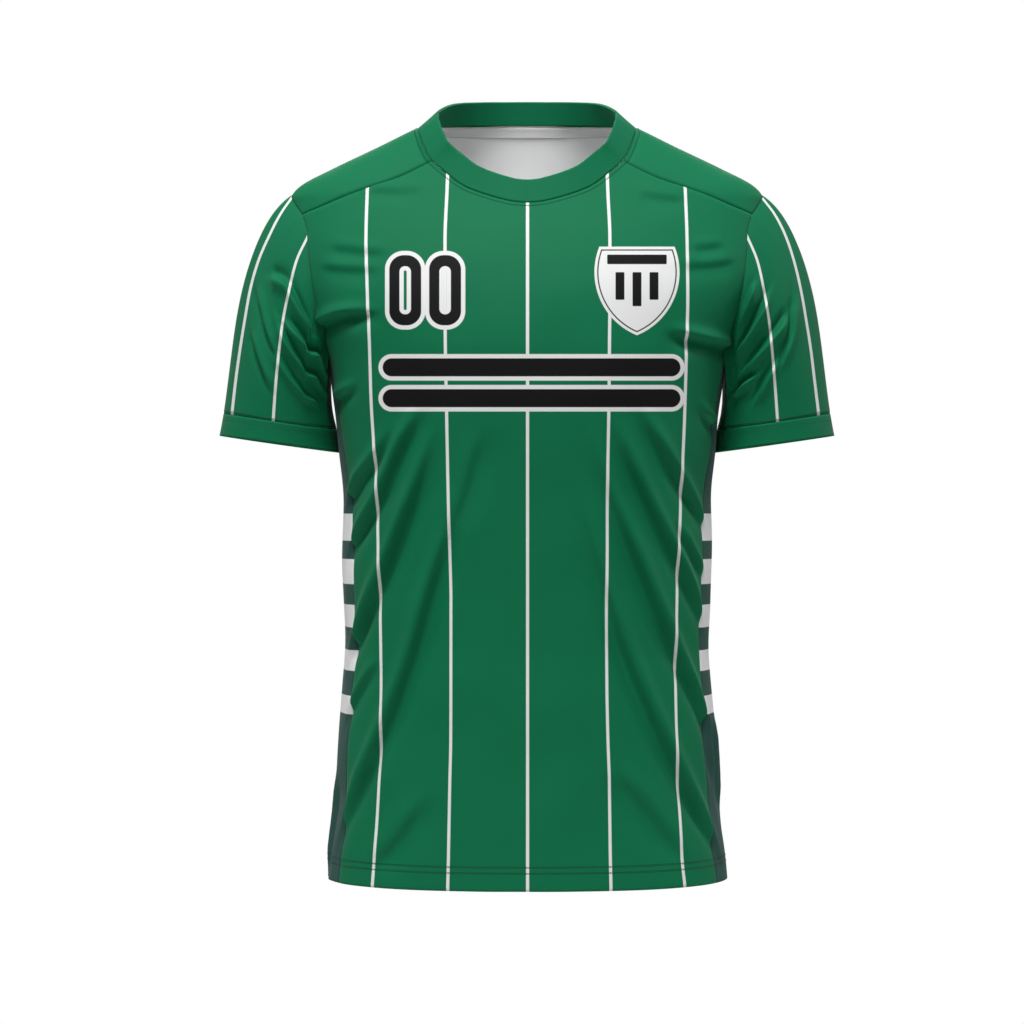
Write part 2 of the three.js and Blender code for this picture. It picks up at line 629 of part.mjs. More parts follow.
// One sheet of cloth from grids that share their edge points
function sheet(name, grids, closed, centre, colour, wall) {
  const points = [];
  const seen = new Map();
  const faces = [];
  const indexOf = (point) => {
    const key = [point.x, point.y, point.z].map((v) => Math.round(v * 500)).join();
    if (!seen.has(key)) {
      seen.set(key, points.length);
      points.push(point.clone());
    }
    return seen.get(key);
  };
  for (const grid of grids) {
    const ids = grid.map((line) => line.map(indexOf));
    const start = faces.length;
    const columns = closed ? ids[0].length : ids[0].length - 1;
    for (let j = 0; j < ids.length - 1; j += 1) {
      for (let i = 0; i < columns; i += 1) {
        const k = (i + 1) % ids[0].length;
        faces.push([ids[j][i], ids[j][k], ids[j + 1][k]]);
        faces.push([ids[j][i], ids[j + 1][k], ids[j + 1][i]]);
      }
    }
    orient(points, faces, start, centre);
  }
  return { name, points, faces, colour, wall };
}

function faceNormal(points, face) {
  const [a, b, c] = face.map((id) => points[id]);
  return b.clone().sub(a).cross(c.clone().sub(a));
}

// Turns the faces from a given one on so that they face away from the centre line
function orient(points, faces, start, centre) {
  let outward = 0;
  for (let i = start; i < faces.length; i += 1) {
    const middle = new THREE.Vector3();
    faces[i].forEach((id) => middle.addScaledVector(points[id], 1 / 3));
    outward += faceNormal(points, faces[i]).dot(middle.clone().sub(centre(middle)));
  }
  if (outward < 0) {
    for (let i = start; i < faces.length; i += 1) {
      faces[i].reverse();
    }
  }
}

function rimEdges(faces) {
  const edges = new Map();
  for (const face of faces) {
    for (let i = 0; i < 3; i += 1) {
      edges.set(`${face[i]},${face[(i + 1) % 3]}`, [face[i], face[(i + 1) % 3]]);
    }
  }
  return [...edges.values()].filter(([a, b]) => !edges.has(`${b},${a}`));
}

// Draws the open edges of a sheet back by half a seam gap
function drawBack(cloth) {
  const rim = rimEdges(cloth.faces);
  const moves = new Map();
  for (const [a, b] of rim) {
    const along = cloth.points[b].clone().sub(cloth.points[a]).normalize();
    const face = cloth.faces.find((f) => f.includes(a) && f.includes(b));
    const inward = faceNormal(cloth.points, face).normalize().cross(along);
    for (const id of [a, b]) {
      const list = moves.get(id) || [];
      list.push(inward);
      moves.set(id, list);
    }
  }
  for (const [id, list] of moves) {
    const sum = list.reduce((total, way) => total.add(way), new THREE.Vector3());
    const way = sum.normalize();
    const share = Math.max(0.5, way.dot(list[list.length - 1]));
    cloth.points[id].addScaledVector(way, SEAM_GAP / 2 / share);
  }
  cloth.rim = rim;
  cloth.rimIds = [...moves.keys()];
}

function meetNormals(cloth) {
  const normals = cloth.points.map(() => new THREE.Vector3());
  for (const face of cloth.faces) {
    const normal = faceNormal(cloth.points, face);
    face.forEach((id) => normals[id].add(normal));
  }
  cloth.normals = normals.map((normal) => normal.normalize());
}

// Gives cloth edges that meet at a seam one shared direction through the cloth
function shareSeams(cloths) {
  const edges = [];
  for (const cloth of cloths) {
    for (const id of cloth.rimIds) {
      edges.push({ cloth, id, point: cloth.points[id], normal: cloth.normals[id].clone() });
    }
  }
  for (const edge of edges) {
    const near = edges.filter(
      (other) => other.cloth !== edge.cloth && other.point.distanceTo(edge.point) < 1.5,
    );
    const alike = near.filter((other) => other.normal.dot(edge.normal) > 0.1);
    const sum = edge.normal.clone();
    alike.forEach((other) => sum.add(other.normal));
    const shared = sum.normalize();
    const stretchBy = 1 / Math.max(0.8, shared.dot(edge.normal));
    edge.cloth.normals[edge.id] = shared.multiplyScalar(stretchBy);
  }
}

function solid(cloth) {
  const count = cloth.points.length;
  const positions = [];
  cloth.points.forEach((point) => positions.push(point.x, point.y, point.z));
  cloth.points.forEach((point, i) => {
    const inner = point.clone().addScaledVector(cloth.normals[i], -cloth.wall(point));
    positions.push(inner.x, inner.y, inner.z);
  });
  const index = [];
  for (const [a, b, c] of cloth.faces) {
    index.push(a, b, c);
    index.push(a + count, c + count, b + count);
  }
  for (const [a, b] of cloth.rim) {
    index.push(b, a, a + count);
    index.push(b, a + count, b + count);
  }
  const geometry = new THREE.BufferGeometry();
  geometry.setAttribute('position', new THREE.Float32BufferAttribute(positions, 3));
  geometry.setIndex(index);
  geometry.computeVertexNormals();
  const material = new THREE.MeshStandardMaterial({ color: cloth.colour, roughness: 0.9 });
  material.name = `${cloth.name}_cloth`;
  const mesh = new THREE.Mesh(geometry, material);
  mesh.name = cloth.name;
  return mesh;
}

const bodyAxis = (point) => new THREE.Vector3(0, 0, Math.min(point.z, -150));
const neckAxis = (point) => new THREE.Vector3(0, COLLAR_AXIS_Y, point.z);
const sleeveAxis = (sign) => (point) => {
  const share = Math.min(1, Math.max(0, (-90 - point.z) / 200));
  return new THREE.Vector3(sign * mix(195, SLEEVE_END.x, share), 0, point.z);
};
const panelWall = (point) => (point.z < HEM_Z + HEM_FOLD + 1 ? HEM_WALL : PANEL_WALL);

const aboveCuff = (share, turn) => cuffRun(turn) * share;
const alongCuff = (share, turn) => mix(cuffRun(turn), 1, share);
const evenShares = (steps) => [0].concat(climb(0, 1, steps));

const cloths = [
  sheet('front_panel', [frontHalf(1), frontHalf(-1)], false, bodyAxis, GREEN, panelWall),
  sheet(
    'back_panel',
    [backHalf(1), backHalf(-1), shoulderWrap(1), shoulderWrap(-1)],
    false,
    bodyAxis,
    GREEN,
    panelWall,
  ),
  sheet('side_panel_left', [sidePanel(1)], false, bodyAxis, DARK_GREEN, panelWall),
  sheet('side_panel_right', [sidePanel(-1)], false, bodyAxis, DARK_GREEN, panelWall),
];
for (const [side, sign, folds] of [
  ['left', 1, LEFT_SLEEVE_FOLDS],
  ['right', -1, RIGHT_SLEEVE_FOLDS],
]) {
  const axis = sleeveAxis(sign);
  const upper = sleeveGrid(sign, folds, evenShares(SLEEVE_ROWS), aboveCuff);
  const lower = sleeveGrid(sign, folds, evenShares(CUFF_ROWS), alongCuff);
  cloths.push(sheet(`sleeve_${side}`, [upper], true, axis, GREEN, () => SLEEVE_WALL));
  cloths.push(sheet(`cuff_${side}`, [lower], true, axis, GREEN, () => CUFF_WALL));
}
cloths.push(sheet('collar', [collarGrid()], true, neckAxis, GREEN, () => COLLAR_WALL));
cloths.push(sheet('neck_tape', [tapeGrid()], false, neckAxis, WHITE, () => TAPE_WALL));

cloths.forEach(drawBack);
cloths.forEach(meetNormals);
shareSeams(cloths);

const jersey = new THREE.Group();
jersey.name = 'football_jersey';
cloths.forEach((cloth) => jersey.add(solid(cloth)));

export default jersey;
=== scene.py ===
import math

import bpy
import numpy as np
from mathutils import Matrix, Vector, kdtree


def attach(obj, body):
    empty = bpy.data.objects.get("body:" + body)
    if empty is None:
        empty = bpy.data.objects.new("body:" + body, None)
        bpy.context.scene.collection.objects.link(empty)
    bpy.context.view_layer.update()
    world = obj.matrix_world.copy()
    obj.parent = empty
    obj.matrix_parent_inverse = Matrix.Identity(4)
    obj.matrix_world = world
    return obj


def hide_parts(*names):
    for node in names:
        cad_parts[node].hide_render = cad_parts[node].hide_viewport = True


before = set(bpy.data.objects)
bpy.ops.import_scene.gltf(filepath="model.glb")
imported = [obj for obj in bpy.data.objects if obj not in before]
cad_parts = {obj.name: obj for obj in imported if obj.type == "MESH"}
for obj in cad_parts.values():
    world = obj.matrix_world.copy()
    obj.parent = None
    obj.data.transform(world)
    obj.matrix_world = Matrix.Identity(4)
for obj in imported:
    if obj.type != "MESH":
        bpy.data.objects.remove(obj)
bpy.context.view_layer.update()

# Lengths are in mm, as in the part's source, and meshes are made in metres.
MM = 0.001

# Camera
CAMERA_AT = (-0.0141, -2.8, -0.3625)
CAMERA_LENS = 104.7

# Cut
HEM_Z = -704.0
HEM_FOLD = 21.6
HEM_SECOND_LINE = 16.2
UNDERARM_Z = -217.0
UNDERARM_DIP = 9.0
SHOULDER_CORNER_Z = -86.0
SHOULDER_TIP_Z = -63.0
NECK_CORNER_ANGLE = 29.5
COLLAR_WIDTH = 23.0
COLLAR_AXIS_Y = -5.0
CUFF_WIDTH = 19.0
TAPE_START_ANGLE = 104.0
CLOTH_WALL = 1.2
COLLAR_WALL = 2.2
TAPE_WALL = 0.9
TAPE_INSET = 1.9
TAPE_STITCH_INSET = 0.95

# How deep the cloth dips at a seam, and how far from the seam the dip reaches
SEAM_DIP = 0.45
SEAM_DIP_REACH = 1.7

# Folds: strength and width of all of them against their tables, how much wider a ridge's
# upper side and a trough's far side are than the steep drop, and steps along a fold
FOLD_STRENGTH = 1.6
FOLD_WIDTH = 0.85
RIDGE_SPREAD = 1.8
TROUGH_SPREAD = 2.4
FOLD_STEPS = 48

# Height of the slow unevenness between the folds
BODY_UNEVENNESS = 1.3
SLEEVE_UNEVENNESS = 0.9

# Lengths that lay the body and the sleeves out flat for their folds
BODY_MM_PER_DEGREE = 2.8
SLEEVE_MM_PER_DEGREE = 1.1
SLEEVE_RUN = 245.0

# How far the underside of a sleeve moves in towards the body
SLEEVE_CLOSER = 1.9

# Columns and rows of the panels' halves and sides, and places round a sleeve
FRONT_GRID = (92, 250)
BACK_GRID = (88, 222)
SIDE_GRID = (40, 250)
SLEEVE_STEPS = 220

# Only a sleeve's seam with its cuff lies below this height
CUFF_SEAM_BELOW = -250.0

# Stripes
STRIPE_HALF = 1.45
STRIPE_PITCH = 73.0
SLEEVE_PITCH = 42.0

# How straight the stripes look over a fold from in front: 1 is quite straight, and 0
# moves with the cloth
FOLD_SHARE = 0.8

# The furthest back that places under the stripes are taken from
BACK_STRIPE_Y = -20.0

# Angles between which the stripes of the back begin
BACK_STRIPES_FROM = (97.0, 97.6)

# Distance of the stitches from the neck seam and from the cuff, and how far the sleeve is
# tucked under the armhole
NECK_STITCH = 4.0
CUFF_STITCH = 1.6
TUCK = 1.6

# Length from stitch to stitch, and half the length and half the thickness of one
STITCH_PITCH = 2.6
STITCH_HALF = 0.95
STITCH_RADIUS = 0.3


def table(names, rows):
    """Rows of numbers as named columns."""
    columns = list(zip(*rows))
    return {name: np.array(column, float) for name, column in zip(names.split(), columns)}


# Horizontal sections of the body: half width, depth in front of and behind the middle,
# and how square the section is (2 is an ellipse)
BODY_SECTIONS = table("z half front back square", [
    (-704, 187.0, 123.5, 112.0, 2.40),
    (-682, 185.0, 122.5, 112.0, 2.40),
    (-629, 179.5, 120.5, 110.0, 2.40),
    (-577, 177.0, 119.0, 106.0, 2.43),
    (-524, 173.0, 118.0, 101.5, 2.45),
    (-480, 171.0, 117.0, 98.0, 2.45),
    (-445, 172.0, 117.0, 96.0, 2.45),
    (-400, 173.5, 118.0, 95.0, 2.45),
    (-353, 172.5, 119.5, 97.0, 2.48),
    (-302, 176.3, 122.0, 100.5, 2.50),
    (-276, 178.5, 123.0, 103.0, 2.50),
    (-254, 181.5, 124.0, 105.0, 2.50),
    (-219, 187.5, 123.0, 107.0, 2.50),
    (-199, 195.0, 120.5, 107.0, 2.50),
    (-169, 209.5, 114.0, 105.5, 2.50),
    (-139, 219.0, 103.0, 102.0, 2.50),
    (-106, 222.5, 87.0, 96.0, 2.42),
    (-86, 222.5, 75.0, 92.0, 2.36),
    (-69, 223.0, 64.5, 87.0, 2.29),
    (-63, 219.5, 60.9, 85.3, 2.27),
    (-57, 213.5, 57.0, 83.5, 2.24),
    (-40, 182.0, 47.0, 78.0, 2.18),
    (-20, 140.5, 34.0, 71.0, 2.12),
    (0, 99.8, 20.0, 64.0, 2.10),
    (14, 66.0, 6.0, 58.0, 2.10),
])

# Seams. Angles are in degrees round the body: 0 is the middle of the front, 90 the side
# and 180 the middle of the back.
FRONT_EDGE = table("z angle", [
    (-704, 63.5),
    (-628, 63.5),
    (-443, 62.5),
    (-351, 64.5),
    (-296, 69.5),
    (-255, 73.0),
    (-217, 74.0),
    (-205, 71.5),
    (-189, 67.0),
    (-169, 63.2),
    (-139, 60.6),
    (-105, 61.4),
    (-86, 65.5),
])
BACK_EDGE = table("z angle", [
    (-704, 116.5),
    (-628, 116.5),
    (-443, 117.5),
    (-351, 115.0),
    (-296, 110.0),
    (-255, 107.0),
    (-217, 106.0),
    (-195, 111.0),
    (-170, 115.3),
    (-139, 118.6),
    (-107, 116.8),
    (-84, 111.5),
    (-72, 104.0),
    (-65.5, 97.0),
    (-63, 90.0),
    (0, 90.0),
])
FORWARD_SEAM = table("angle z", [
    (29.5, -36.8),
    (33.9, -52.8),
    (39.9, -62.2),
    (48.7, -73.1),
    (55.9, -80.0),
    (65.5, -86.0),
])
NECK_SEAM = table("angle z", [
    (-3, -77.6),
    (0, -78.4),
    (3, -77.6),
    (6.5, -74.5),
    (13.9, -64.5),
    (21.3, -49.5),
    (29.5, -36.8),
    (39.8, -22.9),
    (54.6, -10.2),
    (73.8, -2.3),
    (90, 0),
    (110, 3),
    (135, 6),
    (160, 7.6),
    (180, 8),
    (200, 7.6),
])

# How far the neck band leans in towards the neck (0 is upright, 1 is flat)
COLLAR_LEAN = table("angle lean", [
    (-30, 0.38),
    (0, 0.35),
    (30, 0.38),
    (60, 0.62),
    (85, 0.80),
    (105, 0.72),
    (135, 0.36),
    (180, 0.10),
    (225, 0.36),
])

# How far the neck tape reaches down inside the back
TAPE_DROP = table("angle drop", [
    (90, 3.5),
    (120, 7.0),
    (150, 9.5),
    (180, 10.5),
])

# Places across of the body's five stripes, seen level from in front, on the plane of the
# middle. Columns run from the wearer's right to left.
STRIPES_SEEN = table("z r2 r1 mid l1 l2", [
    (-713, -145.5, -74.6, 0.5, 79.0, 148.3),
    (-690, -143.8, -74.0, 0.5, 78.5, 145.9),
    (-652, -141.0, -73.3, 0.5, 78.0, 144.0),
    (-614, -139.0, -72.6, 0.5, 77.5, 142.1),
    (-577, -137.7, -71.8, 0.5, 76.2, 140.7),
    (-524, -137.2, -71.6, 0.5, 75.2, 139.8),
    (-445, -138.4, -71.6, 0.5, 75.0, 140.9),
    (-408, -139.6, -72.6, 0.5, 75.4, 142.3),
    (-332, -142.0, -74.5, 0.5, 75.9, 145.6),
    (-257, -146.6, -75.9, 0.5, 77.1, 148.8),
    (-201, -148.3, -76.9, 0.5, 77.6, 150.2),
    (-163, -150.0, -77.1, 0.5, 78.0, 151.2),
    (-107, -151.4, -77.1, 0.5, 78.0, 150.5),
    (-60, -150.2, -75.2, 0.5, 76.0, 148.8),
    (-30, -149.0, -74.0, 0.5, 75.0, 147.5),
])

# Places across of each sleeve's two stripes, seen in the same way
RIGHT_SLEEVE_STRIPES = table("z outer inner", [
    (-278, -278.3, -238.8),
    (-238, -273.8, -235.9),
    (-210, -269.9, -233.1),
    (-182, -265.4, -229.4),
    (-154, -260.4, -223.7),
    (-127, -252.8, -217.0),
    (-103, -242.5, -205.9),
    (-83, -232.2, -196.5),
    (-64, -219.0, -185.0),
])
LEFT_SLEEVE_STRIPES = table("z outer inner", [
    (-278, 275.2, 235.7),
    (-238, 270.3, 232.8),
    (-210, 266.9, 230.5),
    (-182, 262.5, 227.5),
    (-154, 257.6, 222.8),
    (-127, 251.2, 216.8),
    (-103, 243.2, 206.8),
    (-83, 233.1, 197.4),
    (-64, 218.5, 186.0),
])

# Sleeve: the end ring, and the way the cloth leaves the armhole and reaches the end,
# under the arm, in front, on top and behind
SLEEVE_END = {"x": 234.2, "y": 16.0, "z": -298.4, "half": 56.8, "depth": 57.0, "tilt": 8.0}
SLEEVE_LEAVE = table("under front top back", [
    (6, 78, 154, 78),
    (0, -22, 0, 22),
    (-60, -120, -88, -120),
])
SLEEVE_REACH = table("under front top back", [
    (-10, 12, 36, 12),
    (0, 4, 0, -4),
    (-66, -150, -184, -150),
])

# Folds of the body. Each is a ridge through four places, from its lower to its upper end,
# that drops steeply on its lower side to a trough. Angles below 0 are on the wearer's
# right, and side is -1 where the trough lies on the upper side.
FOLD_NAMES = "a0 z0 a1 z1 a2 z2 a3 z3 rise half trough side"
BODY_FOLDS = table(FOLD_NAMES, [
    (-68, -352, -58, -330, -49.2, -311.5, -40, -279, 2.6, 4.6, 3.6, 1),
    (-66, -396, -49.9, -352, -38, -297, -30, -262, 3.0, 4.8, 4.4, 1),
    (-68, -496, -48.6, -423, -36.5, -352, -26, -274, 3.6, 5.2, 5.2, 1),
    (-67, -660, -44.2, -547, -29.1, -419, -23, -358, 3.4, 5.6, 4.8, 1),
    (-68, -553, -59, -525, -53, -508, -48, -493, 1.6, 4.6, 1.8, 1),
    (-24, -378, -19.5, -338, -17, -312, -14.5, -282, 1.4, 6.5, 1.8, 1),
    (-47, -680, -40, -657, -35, -636, -29, -610, 1.8, 8.0, 2.2, 1),
    (66, -374, 48.4, -327, 39.7, -297, 32, -263, 2.6, 4.6, 3.8, 1),
    (64, -462, 45.8, -391, 33.5, -329, 24, -272, 3.2, 4.8, 4.6, 1),
    (66, -560, 46.7, -475, 33.7, -401, 15.5, -272, 3.6, 5.2, 5.2, 1),
    (68, -674, 45.8, -584, 29.4, -474, 13, -315, 3.4, 5.6, 4.8, 1),
    (64, -420, 57, -400, 52, -384, 47, -367, 1.8, 4.2, 2.0, 1),
    (49, -676, 37.5, -632, 31.2, -609, 25, -587, 1.8, 8.0, 2.2, 1),
    (72, -612, 67, -577, 64.6, -554, 58, -530, 1.6, 5.0, 1.8, 1),
    (-72, -190, -56.8, -182, -47.4, -179, -36, -179, 3.4, 4.2, 4.6, 1),
    (78, -209, 54.9, -204, 45.3, -200.6, 36, -195, 3.4, 4.2, 4.6, 1),
    (-76, -256, -69, -253, -61, -250, -51, -243, 2.2, 4.0, 2.4, 1),
    (74, -280, 66, -275, 61, -271, 54, -260, 2.2, 4.0, 2.4, 1),
    (-50, -116, -43, -119, -37, -122, -31, -123, 0.8, 5.0, 1.1, 1),
    (-54, -134, -46, -137, -40, -138, -33, -139, 0.9, 5.0, 1.3, 1),
    (-40, -61, -34, -63, -29, -63.5, -23, -62.5, 0.7, 4.5, 0.9, 1),
    (27, -67, 31, -69, 36, -71, 40, -72, 0.7, 4.5, 0.9, 1),
    (40, -118, 43, -117, 47, -115, 50, -113, 0.8, 4.5, 1.0, 1),
    (37, -135, 43, -134, 50, -131, 56, -127, 0.9, 5.0, 1.3, 1),
    (-112, -330, -125, -312, -136, -288, -146, -256, 2.6, 6.5, 3.2, 1),
    (-111, -412, -127, -384, -142, -340, -155, -290, 3.0, 7.0, 3.8, 1),
    (-111, -520, -130, -474, -147, -412, -161, -340, 3.2, 7.5, 3.8, 1),
    (-112, -640, -130, -586, -146, -520, -158, -440, 3.0, 8.0, 3.4, 1),
    (-112, -470, -120, -452, -127, -436, -133, -422, 1.6, 6.0, 1.8, 1),
    (112, -318, 124, -304, 134, -282, 143, -250, 2.6, 6.5, 3.2, 1),
    (111, -396, 126, -370, 141, -328, 153, -276, 3.0, 7.0, 3.8, 1),
    (112, -490, 131, -446, 148, -388, 163, -322, 3.2, 7.5, 3.8, 1),
    (112, -604, 131, -560, 147, -498, 159, -420, 3.0, 8.0, 3.4, 1),
    (112, -676, 122, -654, 130, -632, 137, -612, 1.8, 7.0, 2.0, 1),
    (-118, -190, -130, -187, -141, -181, -152, -172, 2.8, 5.5, 3.4, 1),
    (119, -186, 130, -182, 140, -175, 150, -166, 2.8, 5.5, 3.4, 1),
    (-150, -676, -156, -652, -161, -628, -167, -600, 1.8, 9.0, 2.0, 1),
    (148, -672, 155, -644, 162, -614, 169, -584, 1.8, 9.0, 2.0, 1),
    (-88, -700, -84, -660, -80, -625, -77, -600, 1.8, 8.0, 2.0, 1),
    (86, -640, 82, -600, 79, -570, 75, -545, 1.8, 8.0, 2.0, 1),
])

# Folds of the sleeves. Angles run round the sleeve: 0 under the arm, 90 in front, 180 on
# top and 270 behind. Heights are mm down from the armhole, below 0.
RIGHT_SLEEVE_FOLDS = table(FOLD_NAMES, [
    (136, -72, 127, -62, 117, -52, 104, -42, 2.4, 4.0, 3.4, 1),
    (112, -46, 96, -42, 80, -36, 52, -20, 2.0, 5.0, 3.4, 1),
    (100, -80, 74, -64, 48, -54, 20, -46, 2.5, 5.0, 3.6, 1),
    (104, -90, 80, -98, 50, -98, 20, -92, 2.2, 5.0, 3.2, 1),
    (149, -99, 128, -113, 110, -125, 92, -138, 1.8, 4.2, 2.2, -1),
    (138, -136, 122, -150, 108, -166, 98, -184, 1.8, 4.0, 2.2, -1),
    (98, -122, 78, -136, 58, -143, 34, -144, 1.8, 4.6, 2.6, 1),
    (318, -60, 292, -52, 268, -42, 246, -30, 2.8, 6.0, 3.4, 1),
    (320, -100, 290, -92, 262, -82, 238, -66, 3.0, 6.0, 3.8, 1),
    (318, -146, 288, -134, 260, -122, 236, -104, 2.6, 6.0, 3.2, 1),
])
LEFT_SLEEVE_FOLDS = table(FOLD_NAMES, [
    (100, -24, 88, -16, 74, -12, 52, -8, 1.0, 5.0, 4.6, 1),
    (108, -56, 90, -52, 66, -49, 34, -41, 3.2, 5.4, 4.6, 1),
    (122, -101, 100, -97, 76, -94, 42, -89, 2.8, 4.8, 3.8, 1),
    (136, -96, 120, -119, 104, -133, 94, -152, 1.8, 4.2, 2.2, 1),
    (96, -128, 80, -141, 70, -156, 60, -176, 2.0, 4.6, 2.6, 1),
    (70, -122, 58, -117, 46, -115, 28, -113, 2.2, 4.6, 3.2, 1),
    (316, -66, 290, -58, 266, -48, 244, -34, 2.8, 6.0, 3.4, 1),
    (320, -108, 292, -100, 264, -88, 238, -72, 3.0, 6.0, 3.8, 1),
    (318, -158, 288, -146, 260, -132, 232, -110, 2.6, 6.0, 3.2, 1),
])

# Prints on the front, in mm across and in height as seen level from in front
NUMBER_CENTRES = (-114.5, -77.0)
NUMBER_Z = -154.0
CHEST_BARS = table("centre width height", [
    (-226.5, 280, 17),
    (-255.5, 280, 17),
])
CHEST_BAR_X = 4.3
PATCH_CENTRE = (103.4, -153.0)

# Bars on the side panels
SIDE_BARS = table("top height", [
    (-364, 25),
    (-406, 23),
    (-448, 21),
    (-490, 19),
    (-532, 17),
])


def mix(a, b, share):
    return a + (b - a) * share


def smooth(low, high, value):
    """0 below low, 1 above high and a smooth step between."""
    share = np.clip((np.asarray(value, float) - low) / (high - low), 0, 1)
    return share * share * (3 - 2 * share)


def track(columns, key, column):
    """A smooth curve through the rows of a table that never overshoots them."""
    order = np.argsort(columns[key])
    xs = columns[key][order]
    ys = columns[column][order]
    step = np.diff(xs)
    rate = np.diff(ys) / step
    slope = np.zeros(len(xs))
    slope[0] = rate[0]
    slope[-1] = rate[-1]
    for i in range(1, len(xs) - 1):
        if rate[i - 1] * rate[i] > 0:
            before = 2 * step[i] + step[i - 1]
            after = step[i] + 2 * step[i - 1]
            slope[i] = (before + after) / (before / rate[i - 1] + after / rate[i])

    def value(x):
        x = np.clip(np.asarray(x, float), xs[0], xs[-1])
        i = np.clip(np.searchsorted(xs, x) - 1, 0, len(xs) - 2)
        t = (x - xs[i]) / step[i]
        u = 1 - t
        start = (1 + 2 * t) * u * u * ys[i] + t * u * u * step[i] * slope[i]
        end = t * t * (3 - 2 * t) * ys[i + 1] - t * t * u * step[i] * slope[i + 1]
        return start + end

    return value


half_width = track(BODY_SECTIONS, "z", "half")
front_depth = track(BODY_SECTIONS, "z", "front")
back_depth = track(BODY_SECTIONS, "z", "back")
squareness = track(BODY_SECTIONS, "z", "square")
front_edge = track(FRONT_EDGE, "z", "angle")
back_edge = track(BACK_EDGE, "z", "angle")
forward_seam = track(FORWARD_SEAM, "angle", "z")
neck_seam = track(NECK_SEAM, "angle", "z")
collar_lean = track(COLLAR_LEAN, "angle", "lean")
tape_drop = track(TAPE_DROP, "angle", "drop")


def unit(vectors):
    return vectors / np.maximum(np.linalg.norm(vectors, axis=-1, keepdims=True), 1e-9)


def body_form(angle, z):
    """Points on the smooth body, before its folds."""
    angle = np.asarray(angle, float)
    z = np.asarray(z, float)
    n = squareness(z)
    across = np.sin(np.radians(angle))
    forward = np.cos(np.radians(angle))
    reach = (np.abs(across) ** n + np.abs(forward) ** n) ** (-1 / n)
    depth = np.where(forward > 0, front_depth(z), back_depth(z))
    x = half_width(z) * across * reach
    y = -depth * forward * reach
    return np.stack([x, y, z + 0 * x], axis=-1)


def body_normal(angle, z):
    around = body_form(angle + 0.5, z) - body_form(angle - 0.5, z)
    up = body_form(angle, z + 0.5) - body_form(angle, z - 0.5)
    return unit(np.cross(around, up))


def fold_field(x, y, folds, scale, wrap):
    """Height of the folds at points laid out flat."""
    height = np.zeros(np.shape(x))
    for row in range(len(folds["rise"])):
        fold = {name: folds[name][row] for name in folds}
        height += fold_height(x, y, fold, scale, wrap)
    return height


def fold_path(fold, scale, steps):
    """Points and directions along the smooth path through a fold's four places."""
    places = np.array([[fold[f"a{i}"] * scale, fold[f"z{i}"]] for i in range(4)])
    first = 2 * places[0] - places[1]
    last = 2 * places[3] - places[2]
    nodes = np.vstack([first, places, last])
    along = np.linspace(0, 3, steps + 1)
    start = np.minimum(along.astype(int), 2)
    t = (along - start)[:, None]
    p0, p1, p2, p3 = (nodes[start + i] for i in range(4))
    linear = p2 - p0
    square = 2 * p0 - 5 * p1 + 4 * p2 - p3
    cube = 3 * p1 - p0 - 3 * p2 + p3
    points = p1 + (linear * t + square * t * t + cube * t ** 3) / 2
    ways = (linear + 2 * square * t + 3 * cube * t * t) / 2
    return points, ways / np.linalg.norm(ways, axis=1, keepdims=True)


def fold_height(x, y, fold, scale, wrap):
    """A ridge with a gentle upper side, and a steep drop to a trough on its lower side."""
    steps = FOLD_STEPS
    points, ways = fold_path(fold, scale, steps)
    x = x - np.round((x - points[steps // 2, 0]) / wrap) * wrap
    half = fold["half"] * FOLD_WIDTH
    reach = half * 10
    low = points.min(axis=0) - reach
    high = points.max(axis=0) + reach
    near = (x > low[0]) & (x < high[0]) & (y > low[1]) & (y < high[1])
    height = np.zeros(np.shape(x))
    if not near.any():
        return height
    px = x[near]
    py = y[near]
    best = np.full(px.shape, np.inf)
    off = np.zeros(px.shape)
    beyond = np.zeros(px.shape)
    along = np.zeros(px.shape)
    for i, (point, way) in enumerate(zip(points, ways)):
        dx = px - point[0]
        dy = py - point[1]
        distance = dx * dx + dy * dy
        closer = distance < best
        slip = dx * way[0] + dy * way[1]
        past = np.minimum(slip, 0) if i == 0 else np.maximum(slip, 0) if i == steps else 0
        best = np.where(closer, distance, best)
        off = np.where(closer, dy * way[0] - dx * way[1], off)
        beyond = np.where(closer, past, beyond)
        share = i / steps + np.clip(slip, -3, 3) / 300
        along = np.where(closer, share, along)
    lower = -fold["side"] if points[-1, 0] > points[0, 0] else fold["side"]
    down = off * lower
    ends = smooth(-0.08, 0.2, along) * smooth(0, 0.4, 1 - along)
    fade = np.exp(-((beyond / (half * 3)) ** 2)) * ends
    ridge = np.exp(-((down / np.where(down < 0, half * RIDGE_SPREAD, half)) ** 2))
    past = down - half * 1.5
    trough = np.exp(-((past / np.where(past < 0, half, half * TROUGH_SPREAD)) ** 2))
    height[near] = (fold["rise"] * ridge - fold["trough"] * trough) * fade * FOLD_STRENGTH
    return height


def slow_noise(x, y, seed):
    """Smooth unevenness between -1 and 1 from a few crossing waves."""
    rng = np.random.default_rng(seed)
    total = np.zeros(np.shape(x))
    weight = 0
    for i in range(7):
        angle = rng.uniform(0, math.pi)
        length = rng.uniform(60, 190)
        phase = rng.uniform(0, 2 * math.pi)
        strength = length / 190
        wave = (x * math.cos(angle) + y * math.sin(angle)) / length
        total += strength * np.sin(2 * math.pi * wave + phase)
        weight += strength
    return total / weight


